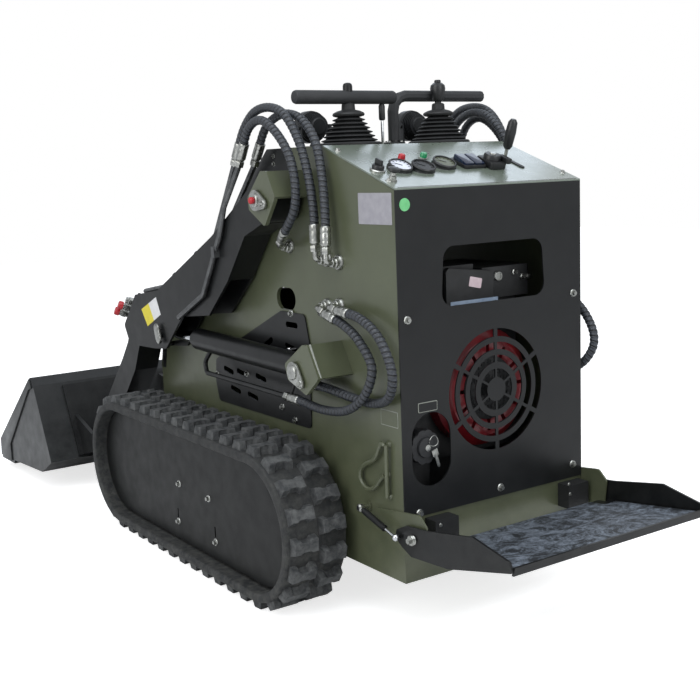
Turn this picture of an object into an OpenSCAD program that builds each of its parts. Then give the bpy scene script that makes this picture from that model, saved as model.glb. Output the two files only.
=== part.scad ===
// Mini skid steer loader on rubber tracks, with a radial lift arm, a bucket and a fold-up step.
// Left is +X, the rear is +Y and up is +Z. Millimetres.
// Side outlines are drawn as [distance to the rear of the rear cover, height above the ground].

/* [Body] */
// Width over the side plates
body_w = 590; // [570:1:600]
// Thickness of the side plates
plate_t = 10; // [6:1:12]
// Thickness of the bolted covers
sheet_t = 4; // [3:0.5:6]
// Height of the belly above the ground
belly_z = 138; // [120:1:160]
// Height of the rear cover's top edge
rear_top_z = 1078; // [1050:1:1100]
// Height of the deck that carries the levers
deck_z = 1184; // [1160:1:1200]
// Lower edge of the rear cover
cover_low_z = 298; // [285:1:310]

/* [Tracks] */
// Width over both tracks
track_span = 994; // [984:1:1010]
// Width of one rubber track
track_w = 180; // [170:1:184]
// Radius from a wheel's centre to the tips of the lugs
track_r = 219; // [210:1:225]
// Height of a lug
lug_h = 22; // [14:1:24]
// Thickness of the rubber belt
belt_t = 25; // [20:1:30]
// Distance between the front and rear track wheels
track_base = 857; // [840:1:870]
// Number of lugs in each row
lug_count = 40; // [36:1:44]

/* [Lift arm] */
// Height of the lift arm's pivot
arm_pivot_z = 1055; // [1050:1:1060]
// Width of one arm beam
arm_w = 80; // [70:1:84]
// Thickness of the arm's plates
arm_t = 8; // [6:1:12]
// Radius of the arm's pivot pin
arm_pin_r = 16; // [12:1:20]
// Outer radius of the lift cylinder's barrel
lift_barrel_r = 32; // [28:1:33]
// Radius of the lift cylinder's rod
lift_rod_r = 16; // [12:1:18]
// Radius of the pins at the cylinders' eyes
eye_pin_r = 14; // [10:1:16]

/* [Bucket] */
// Width of the bucket
bucket_w = 1050; // [1030:1:1200]
// Thickness of the bucket's shell
bucket_t = 8; // [6:1:12]
// Outer radius of the tilt cylinder's barrel
tilt_barrel_r = 28; // [24:1:30]
// Radius of the tilt cylinder's rod
tilt_rod_r = 15; // [12:1:17]

/* [Step] */
// Width of the step between its side plates
step_w = 610; // [608:1:630]
// Thickness of the step's plates
step_t = 6; // [4:1:8]
// Height of the step's hinge
step_hinge_z = 265; // [258:1:268]

/* [Levers] */
// Outer radius of the grips' tubes
grip_r = 15; // [12:1:18]
// Height of the grips above the deck
grip_rise = 123; // [105:1:130]

/* [Hidden] */

// Small working clearances
fit = 0.3;
run = 5;
overlap = 1;

// Body outline
half_w = body_w / 2;
side_in = half_w - plate_t;
cover_y = -sheet_t;
deck_back = -290;
deck_front = -558;
brow = [-723, 1051];
nose = [-1285, 600];
chin = [-1309, 505];
toe_y = -1200;
toe_z = 300;
side_outline = [
    [cover_y, belly_z], [cover_y, rear_top_z - sheet_t], [deck_back, deck_z - sheet_t],
    [deck_front, deck_z - sheet_t], brow, nose, chin, [chin.x, toe_z], [toe_y, belly_z]
];
floor_t = 8;
porthole = [-498, 790];
dash_slope = atan2(deck_z - rear_top_z, -deck_back);

// Track wheels
track_out = track_span / 2;
track_in = track_out - track_w;
wheel_rear = [-414, track_r];
wheel_front = [-414 - track_base, track_r];
belt_r = track_r - lug_h;
belt_in_r = belt_r - belt_t;
row_gap = 12;
row_w = (track_w - row_gap) / 2;
lug_side_w = 20;
frame_in = track_in + 35;
frame_out = track_out - 49;
frame_t = 8;
roller_r = 45;
roller_rear = 258;
roller_front = 246;
roller_gap = 27;
roller_count = max(2, 1 + floor((track_base - roller_rear - roller_front) / (2 * roller_r + roller_gap)));
roller_ys = [for (k = [0:roller_count - 1])
    wheel_rear.x - roller_rear - k * (track_base - roller_rear - roller_front) / (roller_count - 1)];

// Lift arm and its cylinders
arm_in = half_w + 8;
arm_out = arm_in + arm_w;
arm_pivot = [-445, arm_pivot_z];
arm_boss_r = 62;
ear_in = arm_out + run;
ear_t = 10;
ear_out = ear_in + ear_t;
ram_x = (arm_in + arm_out) / 2;
ram_base = [-298, 631];
ram_eye_w = 50;
ram_eye_r = 28;
lift_barrel_l = 628;
lift_stroke = 373;
cross_tube = [wheel_front.x - 69, 672];
cross_tube_r = 45;
ram_rod_pin = cross_tube + [231, -27];
tilt_base = cross_tube + [-72, 36];
bucket_pivot = cross_tube + [-350, -477];
tilt_arm = 150;
tilt_pin = bucket_pivot + tilt_arm * [cos(115), sin(115)];
tilt_eye_w = 44;
tilt_eye_r = 25;
tilt_barrel_l = 375;
tilt_out = 213;
arm_knee = [[223, 106], [52, 80], [-51, -27], [-13, -90], [70, -84], [180, -80], [260, -72], [384, 38]];
arm_outline = concat(
    [[-452, 995], [-401, 1098], [-470, 1112], [-557, 1058], [-740, 953]],
    [for (p = arm_knee) cross_tube + p],
    [[-867, 720], [-780, 729], [-657, 834], [-549, 960]]
);
leg_shape = [[-5, -32], [-32, -82], [-80, -137], [-385, -444], [-315, -512], [10, -172], [78, -52]];
leg_outline = [for (p = leg_shape) cross_tube + p];
leg_boss_r = 46;

// Bucket and its quick-fit frame
bucket_shape = [[-252, 186], [-283, 213], [-699, -92], [-702, -162], [-227, -133], [-119, -77]];
bucket_outline = [for (p = bucket_shape) bucket_pivot + p];
back_foot = bucket_outline[5];
back_top = bucket_outline[0];
back_run = (back_top - back_foot) / norm(back_top - back_foot);
back_out = [back_run.y, -back_run.x];
coupler_w = 840;
coupler_t = 14;
hitch_ear_t = 14;

// Step and its gas struts
step_pivot = [48, step_hinge_z];
step_half = step_w / 2;
step_side = [[-20, 255], [-14, 276], [24, 294], [100, 300], [262, 327], [378, 303], [388, 280],
    [175, 230], [40, 222], [4, 238]];
step_lip = [390, 292];
step_notch = 64;
strut_top = [-145, 301];
strut_low = [-2, 261];
strut_x = step_half + step_t + 12;

// Where the model stands: the middle of its length is the origin
front_reach = bucket_outline[3].x;
rear_reach = step_lip.x;
shift_y = -(front_reach + rear_reach) / 2;

// Hose routes of the left side, [left, rear, up], from the machine to the arm or cylinder
hose_r = 10;
upper_routes = [
    [[330, -289, 960], [330, -290, 1030], [334, -300, 1110], [338, -330, 1195], [341, -385, 1262],
     [344, -453, 1286], [346, -530, 1278], [347, -590, 1235], [347, -630, 1175]],
    [[345, -418, 958], [354, -390, 975], [356, -338, 1030], [358, -325, 1095], [360, -345, 1165],
     [364, -400, 1225], [367, -465, 1255], [369, -525, 1235], [370, -565, 1172]],
    [[330, -241, 955], [325, -246, 1020], [318, -262, 1100], [312, -290, 1180], [310, -330, 1230],
     [312, -385, 1262], [317, -455, 1266], [321, -520, 1235], [322, -565, 1172]]
];
lower_routes = [
    [[332, -240, 772], [332, -170, 752], [332, -110, 720], [330, -65, 660], [334, -95, 590],
     [340, -165, 545], [345, -260, 533], [350, -350, 541], [350, -396, 542]],
    [[332, -185, 786], [332, -110, 777], [332, -40, 745], [332, 5, 690], [328, 12, 640],
     [318, -22, 592], [312, -90, 570], [316, -180, 573], [327, -240, 583], [335, -285, 588],
     [335, -326, 588]]
];

// Small functions
function unit(v) = v / norm(v);
function at(list, i) = list[(i + len(list)) % len(list)];
// The arc of radius r that rounds the corner at b between a and c
function bend(a, b, c, r, steps) =
    let (
        u = unit(a - b),
        v = unit(c - b),
        half = acos(max(-1, min(1, u * v))) / 2,
        centre = b + unit(u + v) * r / sin(half),
        start = b + u * r / tan(half) - centre,
        stop = b + v * r / tan(half) - centre,
        turn = 180 - 2 * half
    )
    [for (k = [0:steps])
        centre + (start * sin(turn * (steps - k) / steps) + stop * sin(turn * k / steps)) / sin(turn)];
// An outline with every corner rounded to the radius r
function eased(p, r, steps = 4) =
    [for (i = [0:len(p) - 1]) each bend(at(p, i - 1), p[i], at(p, i + 1), r, steps)];
// A route with its inner corners rounded to the radius r
function rounded(p, r, steps = 3) = concat([p[0]],
    [for (i = [1:1:len(p) - 2]) each bend(p[i - 1], p[i], p[i + 1], r, steps)], [p[len(p) - 1]]);
// An outline drawn in by d all round, for a wall of that thickness
function inset(p, d) =
    [for (i = [0:len(p) - 1])
        let (
            a = unit(p[i] - at(p, i - 1)),
            b = unit(at(p, i + 1) - p[i]),
            m = [-a.y, a.x],
            n = [-b.y, b.x]
        )
        p[i] + d * (m + n) / (1 + m * n)];
// The outline of a lever with round ends, from p to q
function link(p, rp, q, rq, steps = 10) =
    let (
        way = atan2(q.y - p.y, q.x - p.x),
        side = acos((rp - rq) / norm(q - p))
    )
    concat(
        [for (k = [0:steps]) let (a = way - side + 2 * side * k / steps) q + rq * [cos(a), sin(a)]],
        [for (k = [0:steps]) let (a = way + side + (360 - 2 * side) * k / steps) p + rp * [cos(a), sin(a)]]
    );
// A point on the back of the bucket, t up from its foot and off behind it
function on_back(t, off) = back_foot + t * back_run + off * back_out;

// Small modules
module placed() { translate([0, shift_y, 0]) children(); }
module mirrored(side) { mirror([side < 0 ? 1 : 0, 0, 0]) children(); }
module side_form(outline, x, thick) {
    translate([x, 0, 0]) rotate([90, 0, 90]) linear_extrude(thick) polygon(outline);
}
module cross_bar(p, r, x0, x1, sides = 48) {
    translate([x0, p.x, p.y]) rotate([0, 90, 0]) cylinder(r = r, h = x1 - x0, $fn = sides);
}
module box(x, y, z) {
    translate([x[0], y[0], z[0]]) cube([x[1] - x[0], y[1] - y[0], z[1] - z[0]]);
}
// Turns local Z to point from p to q in the side view
module aimed(x, p, q) {
    translate([x, p.x, p.y]) rotate([atan2(q.y - p.y, q.x - p.x) - 90, 0, 0]) children();
}
module stadium(y0, y1, z, r) {
    union() {
        translate([y0, z]) circle(r, $fn = 64);
        translate([y1, z]) circle(r, $fn = 64);
        translate([min(y0, y1), z - r]) square([abs(y1 - y0), 2 * r]);
    }
}
module side_slab(x, thick) {
    translate([x, 0, 0]) rotate([90, 0, 90]) linear_extrude(thick) children();
}
// A straight round bar from p to q
module bar(p, q, r) {
    way = q - p;
    translate(p) rotate([0, acos(way.z / norm(way)), atan2(way.y, way.x)])
        cylinder(r = r, h = norm(way), $fn = 32);
}
// A hose swept along its route, one ring at each point; across is a direction that it never takes
module hose(route, r, sides = 8, across = [1, 0, 0]) {
    last = len(route) - 1;
    rings = [for (i = [0:last])
        let (
            t = unit(route[min(i + 1, last)] - route[max(i - 1, 0)]),
            m = unit(cross(t, across)),
            n = cross(t, m)
        )
        for (k = [0:sides - 1]) route[i] + r * (m * cos(360 * k / sides) + n * sin(360 * k / sides))];
    skin = [for (i = [0:last - 1]) for (k = [0:sides - 1])
        let (a = i * sides + k, b = i * sides + (k + 1) % sides)
        [a, a + sides, b + sides, b]];
    ends = [[for (k = [0:sides - 1]) k], [for (k = [sides - 1:-1:0]) last * sides + k]];
    polyhedron(rings, concat(skin, ends), convexity = 6);
}
// A steel pipe along straight runs, with its corners bent to the radius turn
module pipe(points, r, turn, across = [1, 0, 0]) {
    hose(rounded(points, turn), r, 10, across);
}

// Side plate with its porthole, vent opening and pin holes
module side_plate(side) color("darkolivegreen") placed() mirrored(side) difference() {
    side_form(side_outline, side_in, plate_t);
    side_slab(side_in - overlap, plate_t + 2 * overlap) {
        stadium(porthole.x - 18, porthole.x + 18, porthole.y, 30);
        polygon([[-420, 470], [-410, 660], [-430, 735], [-510, 735], [-720, 650], [-890, 560], [-890, 475]]);
    }
    cross_bar(arm_pivot, arm_pin_r + fit, side_in - overlap, half_w + overlap);
    cross_bar(ram_base, eye_pin_r + fit, side_in - overlap, half_w + overlap);
}

// Floor and low front wall of the body
module belly_pan() color("darkolivegreen") placed() union() {
    box([-side_in, side_in], [toe_y, cover_y], [belly_z, belly_z + floor_t]);
    side_form([[chin.x + floor_t, toe_z], [chin.x, toe_z], [chin.x, chin.y - sheet_t],
        [chin.x + floor_t, chin.y - sheet_t]], -side_in, 2 * side_in);
    side_form([[toe_y, belly_z], [toe_y, belly_z + floor_t], [chin.x + floor_t, toe_z], [chin.x, toe_z]],
        -side_in, 2 * side_in);
    for (y = [-1050, -640]) box([-side_in, side_in], [y, y + floor_t], [belly_z, 430]);
}

// Low rear wall with the two step ears
module rear_plate() color("olivedrab") placed() union() {
    box([-side_in, side_in], [cover_y - floor_t, cover_y], [belly_z + floor_t, cover_low_z]);
    for (s = [-1, 1]) mirrored(s) {
        side_form(eased([[-114, 250], [-114, 305], [60, 325], [88, 300], [80, 235], [cover_y, 215]], 12),
            half_w, plate_t / 2);
        cross_bar(step_pivot, 10, half_w, step_half + step_t + 5);
        cross_bar(strut_top, 12, half_w, half_w + 4);
        cross_bar(strut_top, 5, half_w, strut_x - 9.5);
    }
}

// Rear cover with its window, round grille and filler hole
grille = [0, 573];
grille_rings = [[132, 152, 12], [100, 118, 8], [68, 86, 8], [30, 52, 6]]; // [inner r, outer r, web width]
module rear_outline() difference() {
    translate([-half_w, cover_low_z]) square([body_w, rear_top_z - sheet_t - cover_low_z]);
    polygon(eased([[-168, 794], [168, 794], [158, 937], [-158, 937]], 32, 6));
    translate([209, 0]) {
        translate([0, 426]) circle(59, $fn = 64);
        translate([0, 488]) circle(59, $fn = 64);
        translate([-59, 426]) square([118, 62]);
    }
    translate(grille) for (ring = grille_rings) difference() {
        circle(ring[1], $fn = 64);
        circle(ring[0], $fn = 64);
        for (a = [30:60:150]) rotate(a) square([2 * ring[1] + 2, ring[2]], center = true);
    }
}
module rear_cover() color("dimgray") placed()
    rotate([90, 0, 0]) linear_extrude(sheet_t) rear_outline();

// Sloping instrument panel
module dash_panel() color("slategray") placed() union() {
    side_form([[0, rear_top_z - sheet_t], [0, rear_top_z], [deck_back, deck_z], [deck_back, deck_z - sheet_t]],
        -half_w, body_w);
}

// Flat deck under the levers
module deck_plate() color("darkolivegreen") placed()
    box([-half_w, half_w], [deck_front, deck_back], [deck_z - sheet_t, deck_z]);

// Sloping front hood with cooling slots
hood_run = unit(nose - brow);
module hood_cover() color("dimgray") placed() difference() {
    side_form([[deck_front, deck_z], [deck_front, deck_z - sheet_t], brow, nose, chin,
        chin + [-sheet_t, 0], nose + [-sheet_t, 2], brow + [-2, sheet_t], [deck_front - 3, deck_z]],
        -half_w, body_w);
    for (k = [0:5]) aimed(0, brow + hood_run * (170 + 60 * k), nose)
        translate([-170, -30, 0]) cube([340, 60, 22]);
}

// Bolted side vent cover with slots
vent_outline = [[-395, 452], [-386, 680], [-405, 755], [-523, 756], [-743, 662], [-914, 577],
    [-922, 509], [-905, 452]];
vent_slots = [[-838, 553, -8], [-759, 555, -8], [-649, 555, -8], [-800, 500, -8], [-700, 495, -8],
    [-470, 722, 0], [-480, 660, -8], [-600, 660, 28]]; // [y, z, slope]
module vent_cover(side) color("dimgray") placed() mirrored(side)
    side_slab(half_w, sheet_t) difference() {
        polygon(eased(vent_outline, 14));
        for (v = vent_slots) translate([v[0], v[1]]) rotate(v[2]) {
            translate([-22, -8]) square([44, 16]);
            for (s = [-22, 22]) translate([s, 0]) circle(8, $fn = 32);
        }
    }

// Engine block on its mounts
module engine() color("dimgray") placed() union() {
    box([-150, 150], [-420, -90], [400, 790]);
    box([-120, 120], [-380, -130], [belly_z + floor_t, 400]);
    box([-175, -20], [-330, -70], [790, 868]);
    box([0, 170], [-300, -80], [790, 880]);
    translate([60, -250, 880]) cylinder(r = 30, h = 20, $fn = 48);
}

// Round finned starter cover behind the grille
module recoil_cover() color("firebrick") placed() translate([0, -90, grille.y]) rotate([-90, 0, 0])
    difference() {
        union() {
            cylinder(r = 150, h = 34, $fn = 64);
            translate([0, 0, 34]) cylinder(r1 = 150, r2 = 120, h = 26, $fn = 64);
        }
        for (k = [0:11]) rotate(30 * k) translate([70, -5, 40]) cube([40, 10, 30]);
    }

// Fuel tank with its filler neck and cap
module fuel_tank() color("dimgray") placed() union() {
    box([162, side_in - 4], [-330, -70], [340, 600]);
    translate([214, -70, 459]) rotate([-90, 0, 0]) cylinder(r = 30, h = 22, $fn = 48);
    translate([214, -48, 459]) rotate([-90, 0, 0]) cylinder(r = 42, h = 26, $fn = 12);
    box([170, 270], [-300, -100], [belly_z + floor_t, 340]);
}

// Ear and pin that carry the lift arm
module pivot_bracket(side) color("olivedrab") placed() mirrored(side) union() {
    side_form(eased([[-424, 1128], [-496, 1062], [-491, 1030], [-415, 989], [-361, 1057], [-396, 1127]], 9),
        ear_in, ear_t);
    side_form([[-404, 1122], [-368, 1058], [-358, 1063], [-394, 1127]], half_w, ear_out - half_w);
    cross_bar(arm_pivot, arm_pin_r, side_in, ear_out + 4);
}

// Bracket and pin at the foot of the lift cylinder
module ram_bracket(side) color("olivedrab") placed() mirrored(side) union() {
    side_form(eased([[-262, 703], [-350, 645], [-336, 606], [-252, 578], [-196, 624], [-240, 703]], 9),
        ear_in, ear_t);
    side_form([[-250, 700], [-204, 622], [-194, 627], [-240, 705]], half_w, ear_out - half_w);
    cross_bar(ram_base, eye_pin_r, side_in, ear_out + 4);
}

// Bent bar tie-downs low on both sides
tie_r = 7;
tie_x = half_w + tie_r + fit;
module tie_downs() color("olivedrab") placed() for (s = [-1, 1]) mirrored(s)
    pipe([[tie_x, -61, 343], [tie_x, -61, 486], [tie_x, -92, 440],
        [tie_x, -178, 408], [tie_x, -160, 338], [tie_x, -88, 352],
        [tie_x, -80, 420]], tie_r, 12);

// Rubber blocks that the folded step rests against
module step_buffers() color("black") placed() for (x = [-284, 160])
    box([x, x + 72], [cover_y, 36], [228, 290]);

// Rubber track: a belt and two staggered rows of waisted lugs
loop_l = 2 * track_base + 2 * PI * belt_r;
module on_loop(s) {
    arc = PI * belt_r;
    if (s < track_base)
        translate([wheel_rear.x - s, wheel_rear.y + belt_r]) children();
    else if (s < track_base + arc)
        translate(wheel_front) rotate((s - track_base) / arc * 180) translate([0, belt_r]) children();
    else if (s < 2 * track_base + arc)
        translate([wheel_front.x + s - track_base - arc, wheel_front.y - belt_r]) rotate(180) children();
    else
        translate(wheel_rear) rotate(180 + (s - 2 * track_base - arc) / arc * 180)
            translate([0, belt_r]) children();
}
module lug_ring(phase, foot, tip) {
    for (i = [0:lug_count - 1]) on_loop((i + phase) * loop_l / lug_count)
        polygon([[foot / 2, -4], [tip / 2, lug_h], [-tip / 2, lug_h], [-foot / 2, -4]]);
}
module track(side) color([0.2, 0.2, 0.2]) placed() mirrored(side) union() {
    side_slab(track_in, track_w) difference() {
        stadium(wheel_front.x, wheel_rear.x, track_r, belt_r);
        stadium(wheel_front.x, wheel_rear.x, track_r, belt_in_r);
    }
    for (row = [0, 1]) {
        x = track_in + row * (row_w + row_gap);
        phase = 0.25 + row / 2;
        side_slab(x, lug_side_w) lug_ring(phase, 46, 34);
        side_slab(x + row_w - lug_side_w, lug_side_w) lug_ring(phase, 46, 34);
        side_slab(x + lug_side_w, row_w - 2 * lug_side_w) lug_ring(phase, 32, 20);
    }
}

// Frame inside a track, with its arms to the body
module track_frame(side) color("dimgray") placed() mirrored(side) difference() {
    front = wheel_front.x;
    rear = wheel_rear.x - 186;
    union() {
        side_form([[front + 181, 150], [rear, 150], [rear, 275], [front + 181, 275]],
            frame_in, frame_out - frame_in);
        for (x = [frame_in, frame_out - frame_t])
            side_form([[front - 29, 190], [front + 151, 190], [front + 211, 72], [rear - 40, 72], [rear, 150],
                [rear + 40, 190], [rear + 40, 250], [rear, 275], [front + 181, 275], [front - 29, 250]],
                x, frame_t);
        for (y = [rear - 60, front + 371]) cross_bar([y, 240], 32, half_w, frame_in);
    }
    box([frame_in + frame_t, frame_out - frame_t], [front + 180, rear + 1], [60, 263]);
    for (y = roller_ys) cross_bar([y, belt_lift()], 12 + fit, frame_in - 1, frame_out + 1);
    cross_bar(wheel_front, 18 + fit, frame_in - 1, frame_out + 1);
}
function belt_lift() = track_r - belt_in_r + roller_r + fit;

// Idler, drive sprocket and rollers of a track
wheel_w = 56;
wheel_x = (frame_in + frame_out) / 2 - wheel_w / 2;
module track_wheels(side) color("gray") placed() mirrored(side) {
    cross_bar(wheel_front, belt_in_r - fit, wheel_x, wheel_x + wheel_w, 72);
    cross_bar(wheel_front, 18, frame_in, frame_out);
    side_slab(wheel_x, wheel_w) difference() {
        polygon([for (k = [0:14]) for (c = [[-7, 22], [-4, 6], [4, 6], [7, 22]])
            let (a = 24 * k + c.x) wheel_rear + (belt_in_r - c.y) * [cos(a), sin(a)]]);
        for (k = [0:4]) translate(wheel_rear + 105 * [cos(72 * k), sin(72 * k)]) circle(20, $fn = 32);
    }
    cross_bar(wheel_rear, 70, half_w, wheel_x);
    for (y = roller_ys) {
        cross_bar([y, belt_lift()], roller_r, wheel_x, wheel_x + wheel_w);
        cross_bar([y, belt_lift()], 12, frame_in, frame_out);
    }
}

// Plate that closes a track's open side
module track_cover(side) color("dimgray") placed() mirrored(side) union() {
    side_slab(frame_out + 4, sheet_t + 2)
        difference() {
            stadium(wheel_front.x, wheel_rear.x, track_r, belt_in_r - 8);
            for (y = [493, 258]) translate([wheel_rear.x - y, 133]) square([7, 30], center = true);
        }
    for (p = [[475, 227], [288, 224]]) cross_bar([wheel_rear.x - p.x, p.y], 14, frame_out, frame_out + 5);
}

// One beam of the lift arm: a welded box with a forked nose and a leg down to the bucket
module arm(side) color([0.16, 0.16, 0.17]) placed() mirrored(side) difference() {
    union() {
        side_form(eased(arm_outline, 10, 3), arm_in, arm_w);
        side_form(leg_outline, arm_in, arm_w);
        cross_bar(bucket_pivot, leg_boss_r, arm_in, arm_out);
        cross_bar(arm_pivot, arm_boss_r - 4, arm_in, arm_out);
    }
    difference() {
        side_form(inset(arm_outline, arm_t), arm_in + arm_t, arm_w - 2 * arm_t);
        cross_bar(arm_pivot, 34, arm_in, arm_out);
    }
    side_form([ram_rod_pin + [-66, -85], ram_rod_pin + [-66, 57], ram_rod_pin + [169, 105], [-780, 760], [-674, 852],
        [-652, 832], [-760, 700], ram_rod_pin + [169, -85]], arm_in + arm_t, arm_w - 2 * arm_t);
    side_form(inset(leg_outline, arm_t), arm_in + arm_t, arm_w - 2 * arm_t);
    cross_bar(arm_pivot, arm_pin_r + fit, arm_in - 1, arm_out + 1);
    cross_bar(ram_rod_pin, eye_pin_r + fit, arm_in - 1, arm_out + 1);
    cross_bar(bucket_pivot, eye_pin_r + fit, arm_in - 1, arm_out + 1);
}

// Tube that joins the beams, with the fork of the tilt cylinder
module arm_crossmember() color([0.16, 0.16, 0.17]) placed() union() {
    cross_bar(cross_tube, cross_tube_r, -arm_in, arm_in);
    for (s = [-1, 1]) mirrored(s) {
        side_form(link(cross_tube, cross_tube_r + 8, tilt_base, 26), tilt_eye_w / 2 + 2, 12);
        // The rod's eye may drift from its pin, so the pin is left out inside the eye
        cross_bar(ram_rod_pin, eye_pin_r, arm_in - 3, ram_x - ram_eye_w / 2 - 1);
        cross_bar(ram_rod_pin, eye_pin_r, ram_x + ram_eye_w / 2 + 1, arm_out + 8);
    }
    cross_bar(tilt_base, eye_pin_r, -tilt_eye_w / 2 - 18, tilt_eye_w / 2 + 18);
}

// Steel oil pipes on an arm, seated on its top and its outer face with clamps
pipe_x = arm_out + 8.3;
pipe_up = 8.3;
top_run = unit(arm_outline[5] - arm_outline[4]);
function on_top(x, t, off) = concat([x], arm_outline[4] + t * top_run + off * [top_run.y, -top_run.x]);
function past(route, gap) =
    let (last = len(route) - 1) route[last] + gap * unit(route[last] - route[last - 1]);
module arm_pipes(side) color("gray") placed() mirrored(side) union() {
    pipe([past(upper_routes[0], 0.3), past(upper_routes[0], 80), on_top(347, 48, pipe_up),
        on_top(347, 410, pipe_up), [347, arm_outline[6].x + 3, arm_outline[6].y + 0.5 + pipe_up]], 8, 40);
    pipe([past(upper_routes[1], 0.3), past(upper_routes[1], 45), [pipe_x, -640, 1035],
        [pipe_x, -674, 957], [pipe_x, -791, 787], [pipe_x, -958, 709]], 8, 24);
    pipe([past(upper_routes[2], 0.3), past(upper_routes[2], 45), on_top(322, 48, pipe_up),
        on_top(322, 190, pipe_up)], 8, 40);
    for (t = [150, 320]) side_form([for (c = [[t, 0.1], [t + 18, 0.1], [t + 18, 19], [t, 19]])
        let (p = on_top(0, c.x, c.y)) [p.y, p.z]], 310, 49);
    box([arm_out, pipe_x + 9], [-712, -694], [898, 928]);
}

// Lift cylinder barrel with its steel pipe
module lift_barrel(side) color([0.15, 0.15, 0.16]) placed() mirrored(side) {
    difference() {
        union() {
            aimed(ram_x, ram_base, ram_rod_pin) {
                translate([0, 0, 24]) cylinder(r = lift_barrel_r, h = lift_barrel_l - 24, $fn = 64);
                translate([0, 0, lift_barrel_l]) cylinder(r = lift_barrel_r - 5, h = 14, $fn = 64);
            }
            cross_bar(ram_base, ram_eye_r, ram_x - ram_eye_w / 2, ram_x + ram_eye_w / 2);
        }
        cross_bar(ram_base, eye_pin_r + fit, ram_x - ram_eye_w, ram_x + ram_eye_w);
        aimed(ram_x, ram_base, ram_rod_pin) {
            translate([0, 0, 60]) cylinder(r = lift_barrel_r - 7, h = lift_barrel_l - 90, $fn = 64);
            translate([0, 0, 60]) cylinder(r = lift_rod_r + fit, h = lift_barrel_l, $fn = 64);
        }
    }
    aimed(ram_x, ram_base, ram_rod_pin) {
        pipe([[0, 2 - lift_barrel_r, 564], [3, -64, 596], [7, -94, 580], [7, -90, 97]], 7, 18);
        bar([7, -90, 110], [4, 8 - lift_barrel_r, 70], 4);
        bar([-8, 4 - lift_barrel_r, 52], [-8, -lift_barrel_r - 20, 52], 9);
        bar([-8, -lift_barrel_r - 11, 61], [-8, -lift_barrel_r - 11, 28], 9);
    }
}

// Lift cylinder rod with its piston and eye
module lift_rod(side) color("silver") placed() mirrored(side) difference() {
    reach = norm(ram_rod_pin - ram_base);
    back = lift_barrel_l - lift_stroke - 70;
    union() {
        aimed(ram_x, ram_base, ram_rod_pin) {
            translate([0, 0, back]) cylinder(r = lift_barrel_r - 7 - fit, h = 30, $fn = 64);
            translate([0, 0, back + 10]) cylinder(r = lift_rod_r, h = reach - back - 30, $fn = 64);
        }
        cross_bar(ram_rod_pin, ram_eye_r, ram_x - ram_eye_w / 2, ram_x + ram_eye_w / 2);
    }
    cross_bar(ram_rod_pin, eye_pin_r + fit, ram_x - ram_eye_w, ram_x + ram_eye_w);
}

// Tilt cylinder barrel
module tilt_barrel() color([0.15, 0.15, 0.16]) placed() difference() {
    union() {
        aimed(0, tilt_base, tilt_pin) {
            translate([0, 0, tilt_eye_r + 13]) cylinder(r = tilt_barrel_r, h = tilt_barrel_l - tilt_eye_r - 13, $fn = 64);
            translate([0, 0, 16]) cylinder(r = 18, h = tilt_eye_r, $fn = 48);
        }
        cross_bar(tilt_base, tilt_eye_r, -tilt_eye_w / 2, tilt_eye_w / 2);
    }
    cross_bar(tilt_base, eye_pin_r + fit, -tilt_eye_w, tilt_eye_w);
    aimed(0, tilt_base, tilt_pin) {
        translate([0, 0, 50]) cylinder(r = tilt_barrel_r - 6, h = tilt_barrel_l - 70, $fn = 64);
        translate([0, 0, 50]) cylinder(r = tilt_rod_r + fit, h = tilt_barrel_l, $fn = 64);
    }
}

// Tilt cylinder rod with its piston and eye
module tilt_rod() color("silver") placed() difference() {
    reach = norm(tilt_pin - tilt_base);
    back = tilt_barrel_l - tilt_out - 52;
    union() {
        aimed(0, tilt_base, tilt_pin) {
            translate([0, 0, back]) cylinder(r = tilt_barrel_r - 6 - fit, h = 24, $fn = 64);
            translate([0, 0, back + 4]) cylinder(r = tilt_rod_r, h = reach - back - 20, $fn = 64);
        }
        cross_bar(tilt_pin, tilt_eye_r, -tilt_eye_w / 2, tilt_eye_w / 2);
    }
    cross_bar(tilt_pin, eye_pin_r + fit, -tilt_eye_w, tilt_eye_w);
}

// Quick-fit frame between the arm and the bucket
module coupler() color([0.16, 0.16, 0.17]) placed() difference() {
    union() {
        side_form([on_back(8, fit), on_back(8, coupler_t), on_back(280, coupler_t), on_back(280, fit)],
            -coupler_w / 2, coupler_w);
        for (s = [-1, 1]) mirrored(s) {
            for (x = [arm_in - run - hitch_ear_t, arm_out + run]) {
                side_form([on_back(10, 4), bucket_pivot + [0, -30], bucket_pivot + [30, 10], on_back(170, 4)],
                    x, hitch_ear_t);
                cross_bar(bucket_pivot, 34, x, x + hitch_ear_t);
            }
            side_form([on_back(60, 4), bucket_pivot + [-10, -10], bucket_pivot + [20, 20], tilt_pin + [20, 10],
                tilt_pin + [-20, 14], on_back(278, 4)], tilt_eye_w / 2 + 2, hitch_ear_t);
            cross_bar(tilt_pin, 26, tilt_eye_w / 2 + 2, tilt_eye_w / 2 + 2 + hitch_ear_t);
            cross_bar(bucket_pivot, eye_pin_r, arm_in - run - hitch_ear_t, arm_out + run + hitch_ear_t + 4);
            // Left out inside the rod's eye, which may drift
            cross_bar(tilt_pin, eye_pin_r, tilt_eye_w / 2 + 1, tilt_eye_w / 2 + 20);
        }
    }
}

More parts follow.
